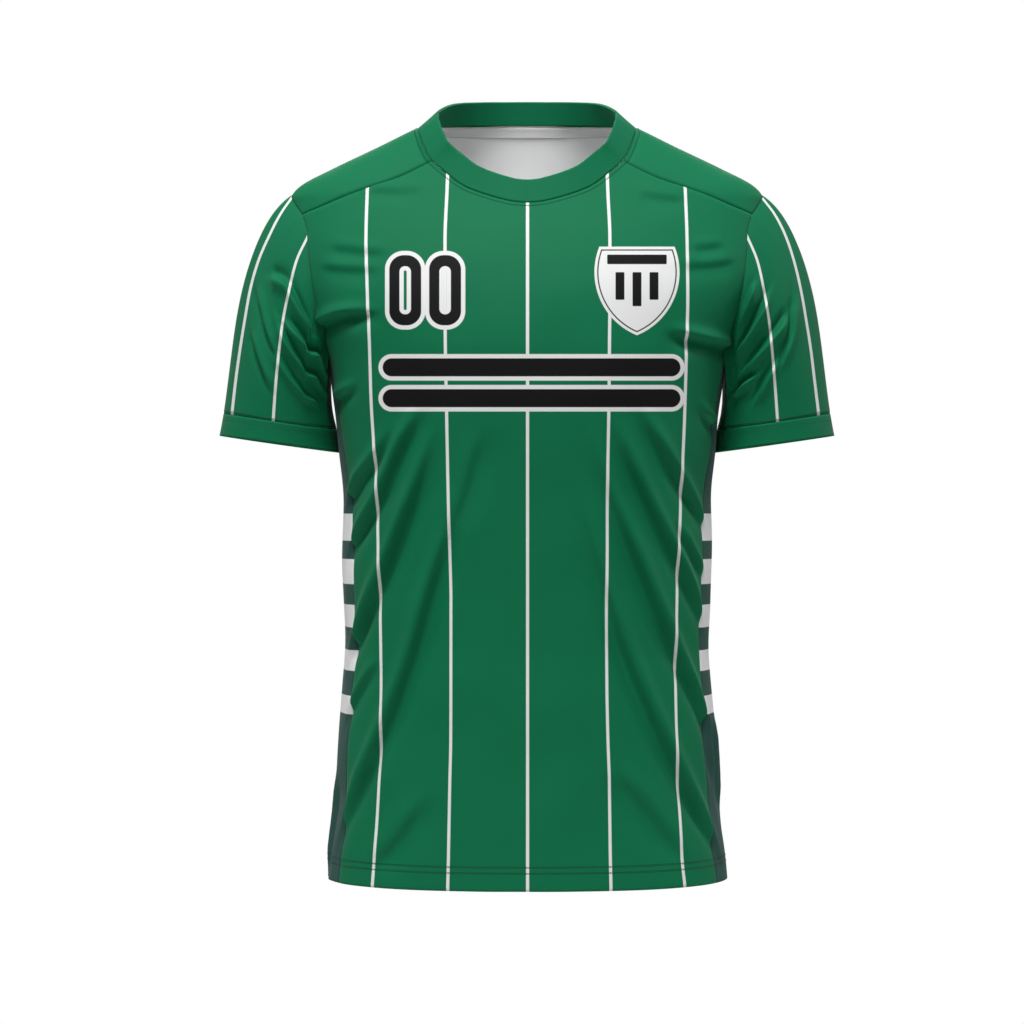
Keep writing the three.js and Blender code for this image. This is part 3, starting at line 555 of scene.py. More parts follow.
def body_point(angle, z):
    """Points on the body's outer face, with its folds."""
    angle = np.asarray(angle, float)
    z = np.asarray(z, float)
    wrap = 360 * BODY_MM_PER_DEGREE
    x = angle * BODY_MM_PER_DEGREE
    height = fold_field(x + 0 * z, z + 0 * x, BODY_FOLDS, BODY_MM_PER_DEGREE, wrap)
    ring = np.sin(np.radians(angle)) * 300
    back = np.cos(np.radians(angle)) * 200
    height = height + BODY_UNEVENNESS * slow_noise(ring + back, z, 3) * smooth(-40, -160, z)
    return body_form(angle, z) + body_normal(angle, z) * height[..., None]


def stretch(bottom, top, left, right, columns, rows):
    """Places spread evenly between two sides and two ends, in degrees and mm."""
    s = np.linspace(0, 1, columns + 1)[None, :, None]
    t = np.linspace(0, 1, rows + 1)[:, None, None]
    low = np.stack(bottom(s[0, :, 0]), -1)[None]
    high = np.stack(top(s[0, :, 0]), -1)[None]
    start = np.stack(left(t[:, 0, 0]), -1)[:, None]
    stop = np.stack(right(t[:, 0, 0]), -1)[:, None]
    flat = mix(mix(low[:, :1], low[:, -1:], s), mix(high[:, :1], high[:, -1:], s), t)
    return mix(low, high, t) + mix(start, stop, s) - flat


def along_heights(heights, edge):
    """A panel side as a function of the share of the way up."""
    def side(t):
        z = np.interp(t, np.linspace(0, 1, len(heights)), heights)
        return edge(z), z
    return side


def panel_heights(rows):
    lower = int(rows * 0.77)
    low = np.linspace(HEM_Z, UNDERARM_Z, lower + 1)
    return low, rows - lower


def front_half(sign, columns, rows):
    low, upper = panel_heights(rows)
    heights = np.concatenate([low, np.linspace(UNDERARM_Z, SHOULDER_CORNER_Z, upper + 1)[1:]])
    centre_rise = (neck_seam(0) - HEM_Z) / (SHOULDER_CORNER_Z - HEM_Z)
    corner = front_edge(SHOULDER_CORNER_Z)

    def hem(s):
        return front_edge(HEM_Z) * s, HEM_Z + 0 * s

    def top(s):
        neck = s <= 0.5
        angle = np.where(neck, NECK_CORNER_ANGLE * s * 2, mix(NECK_CORNER_ANGLE, corner, 2 * s - 1))
        return angle, np.where(neck, neck_seam(angle), forward_seam(angle))

    def centre(t):
        z = np.interp(t, np.linspace(0, 1, len(heights)), heights)
        return 0 * z, HEM_Z + (z - HEM_Z) * centre_rise

    side = along_heights(heights, front_edge)
    grid = stretch(hem, top, centre, side, columns, len(heights) - 1)
    grid[..., 0] *= sign
    return grid


def back_half(sign, columns, rows):
    low, upper = panel_heights(rows)
    tip = np.linspace(UNDERARM_Z, SHOULDER_TIP_Z, upper + 1)[1:]
    ridge = np.linspace(SHOULDER_TIP_Z, neck_seam(90), 31)[1:]
    heights = np.concatenate([low, tip, ridge])
    rise = (neck_seam(180) - HEM_Z) / (neck_seam(90) - HEM_Z)

    def hem(s):
        return mix(back_edge(HEM_Z), 180, s), HEM_Z + 0 * s

    def top(s):
        angle = mix(90.0, 180.0, s)
        return angle, neck_seam(angle)

    def centre(t):
        z = np.interp(t, np.linspace(0, 1, len(heights)), heights)
        return 180 + 0 * z, HEM_Z + (z - HEM_Z) * rise

    side = along_heights(heights, back_edge)
    grid = stretch(hem, top, side, centre, columns, len(heights) - 1)
    grid[..., 0] *= sign
    return grid


def shoulder_arc(s):
    corner = front_edge(SHOULDER_CORNER_Z)
    bulge = np.sin(np.pi * s) * 4.5
    return mix(corner, 90.0, s), mix(SHOULDER_CORNER_Z, SHOULDER_TIP_Z, s) + bulge


def shoulder_wrap(sign, columns):
    """The part of the back over the shoulder, from its ridge to the seam in front."""
    corner = front_edge(SHOULDER_CORNER_Z)

    def neck(s):
        angle = mix(NECK_CORNER_ANGLE, 90.0, s)
        return angle, neck_seam(angle)

    def seam(t):
        angle = mix(corner, NECK_CORNER_ANGLE, t)
        return angle, forward_seam(angle)

    def ridge(t):
        return 90 + 0 * t, mix(SHOULDER_TIP_Z, neck_seam(90), t)

    grid = stretch(shoulder_arc, neck, seam, ridge, columns, 30)
    grid[..., 0] *= sign
    return grid


def underarm(share):
    bend = 1 - (2 * share - 1) ** 2
    angle = mix(front_edge(UNDERARM_Z), back_edge(UNDERARM_Z), share)
    return angle, UNDERARM_Z - UNDERARM_DIP * bend


def side_panel(sign, columns, rows):
    low, _ = panel_heights(rows)

    def hem(s):
        return mix(front_edge(HEM_Z), back_edge(HEM_Z), s), HEM_Z + 0 * s

    front = along_heights(low, front_edge)
    back = along_heights(low, back_edge)
    grid = stretch(hem, underarm, front, back, columns, len(low) - 1)
    grid[..., 0] *= sign
    return grid


def armhole_places(steps):
    """The armhole from the middle of the underarm round the front, top and back."""
    half = np.linspace(0.5, 0, 9)
    pieces = [np.stack(underarm(half), -1)]
    rise = np.linspace(UNDERARM_Z, SHOULDER_CORNER_Z, 60)[1:]
    pieces.append(np.stack([front_edge(rise), rise], -1))
    pieces.append(np.stack(shoulder_arc(np.linspace(0, 1, 24)[1:]), -1))
    top = sum(len(piece) for piece in pieces) - 1
    fall = np.linspace(SHOULDER_TIP_Z, UNDERARM_Z, 70)[1:]
    pieces.append(np.stack([back_edge(fall), fall], -1))
    pieces.append(np.stack(underarm(np.linspace(1, 0.5, 9)[1:]), -1))
    places = np.concatenate(pieces)
    points = body_form(places[:, 0], places[:, 1])
    lengths = np.concatenate([[0], np.cumsum(np.linalg.norm(np.diff(points, axis=0), axis=1))])
    front = lengths / lengths[top]
    behind = (lengths - lengths[top]) / (lengths[-1] - lengths[top])
    turns = np.where(np.arange(len(places)) <= top, math.pi * front, math.pi * (1 + behind))
    turn = np.linspace(0, 2 * math.pi, steps, endpoint=False)
    angle = np.interp(turn, turns, places[:, 0])
    z = np.interp(turn, turns, places[:, 1])
    return turn, angle, z


def round_sleeve(columns, turn):
    """Smooth values round the sleeve from those under, in front, on top and behind."""
    under, front, top, back = (columns[name] for name in ("under", "front", "top", "back"))
    mean = (under + front + top + back) / 4
    cosine = (under - top) / 2
    sine = (front - back) / 2
    pinch = (under + top - front - back) / 4
    turn = np.asarray(turn)[..., None]
    return mean + cosine * np.cos(turn) + sine * np.sin(turn) + pinch * np.cos(2 * turn)


def sleeve_form(start, turn, run):
    """Points on the smooth sleeve of the wearer's left arm."""
    end = SLEEVE_END
    tilt = math.radians(end["tilt"])
    inward = end["half"] * np.cos(turn)
    x = end["x"] - inward * math.cos(tilt)
    y = end["y"] - end["depth"] * np.sin(turn)
    z = end["z"] - inward * math.sin(tilt)
    stop = np.stack([x, y, z], -1)
    leave = round_sleeve(SLEEVE_LEAVE, turn)
    reach = round_sleeve(SLEEVE_REACH, turn)
    run = np.asarray(run)[..., None]
    back = 1 - run
    h0 = (1 + 2 * run) * back * back
    h1 = run * back * back
    h2 = run * run * (3 - 2 * run)
    h3 = -run * run * back
    return h0 * start + h1 * leave + h2 * stop + h3 * reach


def cuff_run(turn):
    """The share of the way down the sleeve at which the cuff starts."""
    return 1 - CUFF_WIDTH / np.linalg.norm(round_sleeve(SLEEVE_REACH, turn), axis=-1)


def sleeve_grid(sign, folds, steps, shares, part):
    """Points down the sleeve or its cuff in rows, with their turns and runs."""
    turn, angle, z = armhole_places(steps)
    seam = body_point(sign * angle, z)
    seam[:, 0] *= sign
    start = seam - body_normal(angle, z) * SEAM_DIP
    share = np.asarray(shares)[:, None]
    edge = cuff_run(turn)[None]
    run = edge * share if part == "sleeve" else mix(edge, 1.0, share)
    turns = turn[None] + 0 * run
    starts = start[None] + 0 * run[..., None]
    points = sleeve_form(starts, turns, run)
    around = sleeve_form(starts, turns + 0.01, run) - sleeve_form(starts, turns - 0.01, run)
    down = sleeve_form(starts, turns, run + 0.01) - sleeve_form(starts, turns, run - 0.01)
    normals = unit(np.cross(around, down))
    x = np.degrees(turns) * SLEEVE_MM_PER_DEGREE
    y = -run * SLEEVE_RUN
    wrap = 360 * SLEEVE_MM_PER_DEGREE
    fade = np.clip(run / 0.1, 0, 1) * np.clip((1 - run) / 0.1, 0, 1)
    height = fold_field(x, y, folds, SLEEVE_MM_PER_DEGREE, wrap) * fade
    ring = np.sin(turns) * 110
    height = height + SLEEVE_UNEVENNESS * slow_noise(ring, y + 40 * np.cos(turns), 8) * fade
    points = points + normals * height[..., None]
    points[..., 0] -= SLEEVE_CLOSER * np.maximum(np.cos(turns), 0) ** 2 * smooth(0.4, 0.9, run)
    if part == "sleeve":
        below = start - unit(points[2] - points[0]) * TUCK - body_normal(angle, z) * TUCK
        points = np.concatenate([below[None], points])
        turns = np.concatenate([turns[:1], turns])
        run = np.concatenate([run[:1], run])
    points[..., 0] *= sign
    return points, turns, run


def nearest(points, targets):
    """Distance of each point from the nearest target."""
    tree = kdtree.KDTree(len(targets))
    for i, target in enumerate(targets):
        tree.insert(Vector(target), i)
    tree.balance()
    return np.array([tree.find(Vector(point))[2] for point in points])


def add_object(name, data):
    added = bpy.data.objects.new(name, data)
    bpy.context.scene.collection.objects.link(added)
    return added


class Cloth:
    """An open sheet made of grids that share their edge points."""

    def __init__(self, name):
        self.name = name
        self.points = []
        self.faces = []
        self.fields = {}
        self.count = 0

    def add(self, grid, closed=False, flip=False, **fields):
        rows, columns = grid.shape[:2]
        ids = np.arange(rows * columns).reshape(rows, columns) + self.count
        if closed:
            ids = np.concatenate([ids, ids[:, :1]], axis=1)
        a = ids[:-1, :-1].ravel()
        b = ids[:-1, 1:].ravel()
        c = ids[1:, 1:].ravel()
        d = ids[1:, :-1].ravel()
        quads = np.stack([a, b, c, d], -1)
        if flip:
            quads = quads[:, ::-1]
        self.points.append(grid.reshape(-1, 3))
        self.faces.append(quads)
        for name, values in fields.items():
            spread = np.broadcast_to(values, (rows, columns)).ravel()
            self.fields.setdefault(name, []).append(spread)
        self.count += rows * columns

    def weld(self):
        """Joins points that lie on each other and finds the rim and the normals."""
        points = np.concatenate(self.points)
        faces = np.concatenate(self.faces)
        fields = {name: np.concatenate(parts) for name, parts in self.fields.items()}
        keys = np.round(points * 200).astype(np.int64)
        _, first, back = np.unique(keys, axis=0, return_index=True, return_inverse=True)
        back = back.ravel()
        self.points = points[first]
        self.faces = back[faces]
        self.fields = {name: values[first] for name, values in fields.items()}
        edges = np.concatenate([self.faces[:, [i, (i + 1) % 4]] for i in range(4)])
        code = edges[:, 0].astype(np.int64) * len(self.points) + edges[:, 1]
        other = edges[:, 1].astype(np.int64) * len(self.points) + edges[:, 0]
        self.rim = edges[~np.isin(code, other)]
        self.find_normals()

    def find_normals(self):
        p = self.points[self.faces]
        normal = np.cross(p[:, 2] - p[:, 0], p[:, 3] - p[:, 1])
        total = np.zeros_like(self.points)
        for corner in range(4):
            np.add.at(total, self.faces[:, corner], normal)
        self.normals = unit(total)

    def rim_distance(self, keep):
        """Distance of each point from the rim points that keep picks."""
        rim = self.points[np.unique(self.rim)]
        return nearest(self.points, rim[keep(rim)])

    def build(self, wall, materials):
        """A closed shell: outer face, inner face and rim, each with its own material."""
        count = len(self.points)
        inner = self.points - self.normals * np.broadcast_to(wall, (count,))[:, None]
        points = np.concatenate([self.points, inner]) * MM
        back = self.faces[:, ::-1] + count
        rim = np.stack(
            [self.rim[:, 1], self.rim[:, 0], self.rim[:, 0] + count, self.rim[:, 1] + count],
            -1,
        )
        faces = np.concatenate([self.faces, back, rim])
        mesh = bpy.data.meshes.new(self.name)
        mesh.vertices.add(len(points))
        mesh.vertices.foreach_set("co", points.ravel())
        mesh.loops.add(faces.size)
        mesh.loops.foreach_set("vertex_index", faces.ravel().astype(np.int32))
        mesh.polygons.add(len(faces))
        mesh.polygons.foreach_set("loop_start", np.arange(0, faces.size, 4, dtype=np.int32))
        for material in materials:
            mesh.materials.append(material)
        which = np.concatenate([
            np.zeros(len(self.faces), np.int32),
            np.ones(len(back), np.int32),
            np.full(len(rim), len(materials) - 1, np.int32),
        ])
        mesh.polygons.foreach_set("material_index", which)
        for name, values in self.fields.items():
            both = np.concatenate([values, values]).astype(np.float32)
            layer = mesh.attributes.new(name, "FLOAT", "POINT")
            layer.data.foreach_set("value", both)
        mesh.update()
        mesh.validate()
        # The flat rim keeps from bending the light on the two broad faces.
        broad = np.arange(len(mesh.polygons)) < len(self.faces) * 2
        mesh.polygons.foreach_set("use_smooth", broad)
        return add_object(self.name, mesh)


class Nodes:
    """Short names for a material's node tree."""

    def __init__(self, name, roughness=0.66, specular=0.12, sheen=0.05, sheen_roughness=0.35):
        self.material = bpy.data.materials.new(name)
        self.material.use_nodes = True
        self.tree = self.material.node_tree
        self.shader = self.tree.nodes["Principled BSDF"]
        self.shader.inputs["Roughness"].default_value = roughness
        self.shader.inputs["Specular IOR Level"].default_value = specular
        self.shader.inputs["Sheen Weight"].default_value = sheen
        self.shader.inputs["Sheen Roughness"].default_value = sheen_roughness

    def link(self, source, socket):
        if isinstance(source, (int, float)):
            socket.default_value = source
        elif isinstance(source, tuple):
            socket.default_value = (*source, 1)
        else:
            self.tree.links.new(source, socket)

    def field(self, name):
        node = self.tree.nodes.new("ShaderNodeAttribute")
        node.attribute_name = name
        return node.outputs["Fac"]

    def math(self, operation, *values):
        node = self.tree.nodes.new("ShaderNodeMath")
        node.operation = operation
        for value, socket in zip(values, node.inputs):
            self.link(value, socket)
        return node.outputs[0]

    def add(self, a, b):
        return self.math("ADD", a, b)

    def less(self, a, b):
        return self.math("SUBTRACT", a, b)

    def times(self, a, b):
        return self.math("MULTIPLY", a, b)

    def size(self, a):
        return self.math("ABSOLUTE", a)

    def ramp(self, value, low, high):
        """1 below low, 0 above high."""
        node = self.tree.nodes.new("ShaderNodeMapRange")
        node.interpolation_type = "SMOOTHSTEP"
        self.link(value, node.inputs["Value"])
        node.inputs["From Min"].default_value = low
        node.inputs["From Max"].default_value = high
        node.inputs["To Min"].default_value = 1.0
        node.inputs["To Max"].default_value = 0.0
        return node.outputs[0]

    def blend(self, share, a, b):
        node = self.tree.nodes.new("ShaderNodeMix")
        node.data_type = "RGBA"
        self.link(share, node.inputs["Factor"])
        self.link(a, node.inputs["A"])
        self.link(b, node.inputs["B"])
        return node.outputs["Result"]

    def place(self, u, v):
        node = self.tree.nodes.new("ShaderNodeCombineXYZ")
        self.link(u, node.inputs[0])
        self.link(v, node.inputs[1])
        return node.outputs[0]

    def noise(self, place, scale, detail=2.0):
        node = self.tree.nodes.new("ShaderNodeTexNoise")
        self.link(place, node.inputs["Vector"])
        node.inputs["Scale"].default_value = scale
        node.inputs["Detail"].default_value = detail
        return node.outputs["Fac"]

    def bump(self, height, strength, distance):
        node = self.tree.nodes.new("ShaderNodeBump")
        node.inputs["Strength"].default_value = strength
        node.inputs["Distance"].default_value = distance
        self.link(height, node.inputs["Height"])
        self.tree.links.new(node.outputs["Normal"], self.shader.inputs["Normal"])

    def colour(self, source):
        self.link(source, self.shader.inputs["Base Color"])

    def knit(self, across, down):
        """Fine knitted loops: columns of small slanting stitches."""
        column = self.times(across, 2 * math.pi / 1.15)
        slant = self.times(self.math("SINE", column), 0.25)
        row = self.times(self.add(down, slant), 2 * math.pi / 0.95)
        ribs = self.times(self.math("COSINE", column), 0.6)
        return self.add(ribs, self.times(self.math("SINE", row), 0.4))


GREEN = (0.0028, 0.166, 0.069)
GREEN_DEEP = (0.0020, 0.150, 0.060)
THREAD = (0.004, 0.110, 0.046)
WHITE = (0.80, 0.81, 0.80)
BLACK = (0.006, 0.006, 0.007)
INSIDE = (0.95, 0.95, 0.95)
INSIDE_DEEP = (0.91, 0.91, 0.91)
SIDE_GREEN = (0.028, 0.090, 0.074)
SIDE_DEEP = (0.023, 0.076, 0.062)
TAPE_WHITE = (0.84, 0.84, 0.84)
TAPE_DEEP = (0.78, 0.78, 0.78)
# Painted shade: dark colours blended into the dye along the sewn lines, where their grooves lie in
# shade
SEAM_SHADE_GREEN = (0.002, 0.03, 0.014)
SEAM_SHADE_SIDE = (0.006, 0.02, 0.016)


def cloth_base(nodes, light, deep):
    """Places on the cloth, and a slightly uneven dye."""
    across = nodes.field("across")
    down = nodes.field("down")
    place = nodes.place(across, down)
    broad = nodes.noise(place, 0.02, 3.0)
    fine = nodes.noise(place, 1.6, 2.0)
    share = nodes.add(nodes.times(broad, 0.6), nodes.times(fine, 0.4))
    return across, down, nodes.blend(share, light, deep)


def line_at(nodes, distance, half):
    """1 on a line and 0 beside it."""
    return nodes.ramp(nodes.size(distance), half * 0.4, half)


def hem_marks(nodes, down):
    """The two sewn lines of the hem."""
    rises = (HEM_FOLD, HEM_SECOND_LINE)
    return [line_at(nodes, nodes.less(down, HEM_Z + rise), 1.0) for rise in rises]


def neck_mark(nodes):
    """The sewn line beside the neck seam."""
    return line_at(nodes, nodes.less(nodes.field("from_neck"), NECK_STITCH), 1.0)


def knitted(nodes, across, down, dye, lines=(), deep=SEAM_SHADE_GREEN):
    """Fine knitted loops, drawn in along the sewn lines, with painted shade darkening the dye in
    their grooves.
    """
    relief = nodes.times(nodes.knit(across, down), 0.10)
    for line in lines:
        # Painted shade in the groove of each sewn line
        dye = nodes.blend(nodes.times(line, 0.45), dye, deep)
        relief = nodes.less(relief, line)
    nodes.colour(dye)
    nodes.bump(relief, 0.35, 0.0006)
    return nodes.material


def rounded_box(nodes, x, y, box):
    """Signed distance in mm to a rounded box of middle, half sizes and corner radius."""
    centre_x, centre_y, half_x, half_y, radius = box
    dx = nodes.less(nodes.size(nodes.less(x, centre_x)), half_x - radius)
    dy = nodes.less(nodes.size(nodes.less(y, centre_y)), half_y - radius)
    ox = nodes.math("MAXIMUM", dx, 0.0)
    oy = nodes.math("MAXIMUM", dy, 0.0)
    outside = nodes.math("SQRT", nodes.add(nodes.times(ox, ox), nodes.times(oy, oy)))
    inside = nodes.math("MINIMUM", nodes.math("MAXIMUM", dx, dy), 0.0)
    return nodes.less(nodes.add(outside, inside), radius)


def over(nodes, dye, distance, edge, ink):
    """Prints ink where the distance is below edge."""
    return nodes.blend(nodes.ramp(distance, edge - 0.35, edge + 0.35), dye, ink)


def striped(nodes, dye, pitch, last, half, keep=None):
    """White pinstripes at whole pitches of the lane, from none to the last."""
    lane = nodes.field("lane")
    number = nodes.math("ROUND", nodes.math("DIVIDE", lane, pitch))
    number = nodes.math("MINIMUM", nodes.math("MAXIMUM", number, 0.0), float(last))
    off = nodes.size(nodes.less(lane, nodes.times(number, pitch)))
    stripe = nodes.ramp(off, half - 0.3, half + 0.3)
    if keep is not None:
        stripe = nodes.times(stripe, keep)
    return nodes.blend(stripe, dye, WHITE)


def nought(nodes, x, y, centre):
    """Distance to a plain nought: the ring between two rounded boxes."""
    outer = rounded_box(nodes, x, y, (centre, NUMBER_Z, 15.0, 33.0, 13.5))
    inner = rounded_box(nodes, x, y, (centre, NUMBER_Z, 5.4, 22.6, 5.2))
    return nodes.math("MAXIMUM", outer, nodes.times(inner, -1.0))


def circle(nodes, x, y, centre_x, centre_y, radius):
    dx = nodes.less(x, centre_x)
    dy = nodes.less(y, centre_y)
    reach = nodes.math("SQRT", nodes.add(nodes.times(dx, dx), nodes.times(dy, dy)))
    return nodes.less(reach, radius)


def patch(nodes, dye, x, y):
    """A plain white shield with a thin black line inside it, a bar across and three upright bars."""
    px, py = PATCH_CENTRE
    left = circle(nodes, x, y, px + 24, py + 16, 64)
    right = circle(nodes, x, y, px - 24, py + 16, 64)
    shield = nodes.math("MAXIMUM", left, right)
    shield = nodes.math("MAXIMUM", shield, nodes.less(y, py + 40))
    dye = over(nodes, dye, shield, 0.0, WHITE)
    keyline = nodes.less(nodes.size(nodes.add(shield, 3.2)), 0.6)
    dye = over(nodes, dye, keyline, 0.0, BLACK)
    chief = rounded_box(nodes, x, y, (px, py + 28, 28, 4.5, 1.0))
    dye = over(nodes, dye, chief, 0.0, BLACK)
    for offset, top in ((-16, 13), (0, 16), (16, 13)):
        bar = rounded_box(nodes, x, y, (px + offset, py + 16 - top, 4.2, top, 1.0))
        dye = over(nodes, dye, bar, 0.0, BLACK)
    return dye


def front_material():
    nodes = Nodes("front_knit")
    across, down, dye = cloth_base(nodes, GREEN, GREEN_DEEP)
    dye = striped(nodes, dye, STRIPE_PITCH, 4, STRIPE_HALF)
    flat_x = nodes.field("print_x")
    flat_y = nodes.field("print_y")
    noughts = [nought(nodes, flat_x, flat_y, centre) for centre in NUMBER_CENTRES]
    blocks = []
    for height, long, wide in zip(*CHEST_BARS.values()):
        box = (CHEST_BAR_X, float(height), float(long / 2), float(wide / 2), float(wide / 2))
        blocks.append(rounded_box(nodes, flat_x, flat_y, box))
    for shape in noughts + blocks:
        dye = over(nodes, dye, shape, 4.0, WHITE)
    for shape in noughts + blocks:
        dye = over(nodes, dye, shape, 0.0, BLACK)
    dye = patch(nodes, dye, flat_x, flat_y)
    return knitted(nodes, across, down, dye, hem_marks(nodes, down) + [neck_mark(nodes)])


def back_material():
    nodes = Nodes("back_knit")
    across, down, dye = cloth_base(nodes, GREEN, GREEN_DEEP)
    low, high = BACK_STRIPES_FROM
    behind = nodes.ramp(nodes.times(nodes.size(nodes.field("turn")), -1.0), -high, -low)
    dye = striped(nodes, dye, STRIPE_PITCH, 4, STRIPE_HALF, behind)
    return knitted(nodes, across, down, dye, hem_marks(nodes, down) + [neck_mark(nodes)])


def side_material():
    nodes = Nodes("side_knit")
    across, down, dye = cloth_base(nodes, SIDE_GREEN, SIDE_DEEP)
    for top, height in zip(SIDE_BARS["top"], SIDE_BARS["height"]):
        bar = nodes.less(nodes.size(nodes.less(down, float(top - height / 2))), float(height / 2))
        dye = over(nodes, dye, bar, 0.0, WHITE)
    return knitted(nodes, across, down, dye, hem_marks(nodes, down), SEAM_SHADE_SIDE)


def sleeve_material():
    nodes = Nodes("sleeve_knit")
    across, down, dye = cloth_base(nodes, GREEN, GREEN_DEEP)
    from_top = nodes.size(nodes.less(nodes.field("turn"), 180.0))
    below_top = nodes.ramp(nodes.times(from_top, -1.0), -5.0, -4.0)
    dye = striped(nodes, dye, SLEEVE_PITCH, 1, STRIPE_HALF, below_top)
    cuff_mark = line_at(nodes, nodes.less(nodes.field("to_cuff"), CUFF_STITCH), 1.0)
    return knitted(nodes, across, down, dye, [cuff_mark])


def plain_material(name, light, deep, roughness=0.66):
    nodes = Nodes(name, roughness)
    across, down, dye = cloth_base(nodes, light, deep)
    return knitted(nodes, across, down, dye)


def thread_material(name, colour):
    nodes = Nodes(name, 0.5, 0.3, 0.2, 0.4)
    place = nodes.tree.nodes.new("ShaderNodeTexCoord").outputs["Object"]
    nodes.bump(nodes.noise(place, 900.0, 2.0), 0.4, 0.0003)
    tone = tuple(part * 0.8 for part in colour)
    nodes.colour(nodes.blend(nodes.noise(place, 300.0, 2.0), colour, tone))
    return nodes.material


def seen_place(points):
    """Where points are seen level from in front, on the plane of the middle."""
    distance = -CAMERA_AT[1] / MM
    nearer = distance / (distance + points[..., 1])
    x = (points[..., 0] - CAMERA_AT[0] / MM) * nearer + CAMERA_AT[0] / MM
    z = (points[..., 2] - CAMERA_AT[2] / MM) * nearer + CAMERA_AT[2] / MM
    return x, z


def lanes(x, z, stripes, names):
    """Places across in stripe numbers: each whole number is the middle of a stripe."""
    edges = [track(stripes, "z", name)(z) for name in names]
    last = len(names) - 2
    lane = np.zeros(np.shape(x))
    for i in range(last + 1):
        share = (x - edges[i]) / (edges[i + 1] - edges[i])
        after = True if i == 0 else share >= 0
        before = True if i == last else share < 1
        lane = np.where(after & before, i + share, lane)
    return lane


def to_front(angle):
    """Angles behind the middle as their mirror in front of it."""
    return np.where(np.abs(angle) > 90, np.sign(angle) * (180 - np.abs(angle)), angle)


def body_lane(angle, points):
    """Stripe numbers on the body, with the back a mirror of the front."""
    front = np.abs(angle) <= 90
    printed = body_form(to_front(angle), points[..., 2])
    printed[..., 1] = np.minimum(printed[..., 1], BACK_STRIPE_Y)
    x, z = seen_place(np.where(front[..., None], mix(printed, points, FOLD_SHARE), printed))
    return lanes(x, z, STRIPES_SEEN, ("r2", "r1", "mid", "l1", "l2")) * STRIPE_PITCH


def flat_across(angle, z):
    """Length of cloth from the middle of the front or back, in mm."""
    share = np.linspace(0, 1, 31)
    points = body_form(angle[..., None] * share, z[..., None] + 0 * share)
    steps = np.linalg.norm(np.diff(points, axis=-2), axis=-1)
    return np.sign(angle) * steps.sum(axis=-1)


def body_cloth(name, places, flips):
    cloth = Cloth(name)
    for place, flip in zip(places, flips):
        angle = place[..., 0]
        z = place[..., 1]
        points = body_point(angle, z)
        print_x, print_y = seen_place(points)
        cloth.add(
            points,
            flip=flip,
            across=flat_across(to_front(angle), z),
            down=z,
            lane=body_lane(angle, points),
            turn=angle,
            print_x=print_x,
            print_y=print_y,
        )
    cloth.weld()
    return cloth


def sink_seams(cloth, keep):
    """Draws the cloth in a little along its seams."""
    distance = cloth.rim_distance(keep)
    dip = SEAM_DIP * np.exp(-((distance / SEAM_DIP_REACH) ** 2))
    cloth.points = cloth.points - cloth.normals * dip[:, None]
    cloth.find_normals()


def above_hem(points):
    return points[:, 2] > HEM_Z + 1


def neck_distance(points):
    """Distance of points from the neck seam."""
    angles = np.linspace(-180, 180, 1500)
    return nearest(points, body_point(angles, neck_seam(np.abs(angles))))


def dress(cloth, node, wall, materials, extras=()):
    piece = cloth.build(wall, materials)
    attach(piece, "root")
    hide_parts(node)
    for extra in extras:
        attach(extra, "root")
    return piece


def stitches(name, lines, material):
    """Short threads lying along lines of points, each line given with its normals."""
    points = []
    faces = []
    for line, normals in lines:
        steps = np.linalg.norm(np.diff(line, axis=0), axis=1)
        lengths = np.concatenate([[0], np.cumsum(steps)])
        count = int(lengths[-1] / STITCH_PITCH)
        for i in range(count):
            place = (i + 0.5) * lengths[-1] / count
            spots = [place - STITCH_HALF, place - STITCH_HALF / 2]
            spots += [place + STITCH_HALF / 2, place + STITCH_HALF]
            spine = np.stack([np.interp(spots, lengths, line[:, k]) for k in range(3)], -1)
            normal = unit(np.array([np.interp(place, lengths, normals[:, k]) for k in range(3)]))
            along = unit(spine[3] - spine[0])
            side = np.cross(along, normal)
            spine = spine + normal * (np.array([-0.25, 0.12, 0.12, -0.25])[:, None])
            start = len(points)
            points.append(spine[0])
            for centre in spine[1:3]:
                for way in (side, normal, -side, -normal):
                    points.append(centre + way * STITCH_RADIUS)
            points.append(spine[3])
            for k in range(4):
                n = (k + 1) % 4
                faces.append([start, start + 1 + n, start + 1 + k])
                faces.append([start + 1 + k, start + 1 + n, start + 5 + n, start + 5 + k])
                faces.append([start + 5 + k, start + 5 + n, start + 9])
    mesh = bpy.data.meshes.new(name)
    mesh.from_pydata([tuple(p * MM) for p in np.array(points)], [], faces)
    mesh.materials.append(material)
    return add_object(name, mesh)


def body_line(angles, heights):
    """Points along a line on the body, with their normals."""
    return body_point(angles, heights), body_normal(angles, heights)


def neck_line(low, high):
    """A line of stitches beside the neck seam between two angles."""
    angles = np.linspace(low, high, 500)
    folded = np.where(angles > 180, 360 - angles, np.abs(angles))
    seam, normals = body_line(angles, neck_seam(folded))
    along = unit(np.gradient(seam, axis=0))
    outward = unit(np.cross(along, normals))
    return seam + outward * NECK_STITCH - normals * 0.1, normals


def hem_lines(low, high):
    """The two lines of stitches along the hem between two angles."""
    angles = np.linspace(low, high, 400)
    rises = (HEM_FOLD, HEM_SECOND_LINE)
    return [body_line(angles, angles * 0 + HEM_Z + rise) for rise in rises]


def sleeve_lane(sign, points, turns, stripes):
    """Stripe numbers on a sleeve, with its back a mirror of its front."""
    front = turns <= math.pi
    mirror = points.copy()
    mirror[..., 1] = 2 * SLEEVE_END["y"] - mirror[..., 1]
    x, z = seen_place(np.where(front[..., None], points, mirror))
    return lanes(x, z, stripes, ("outer", "inner")) * SLEEVE_PITCH


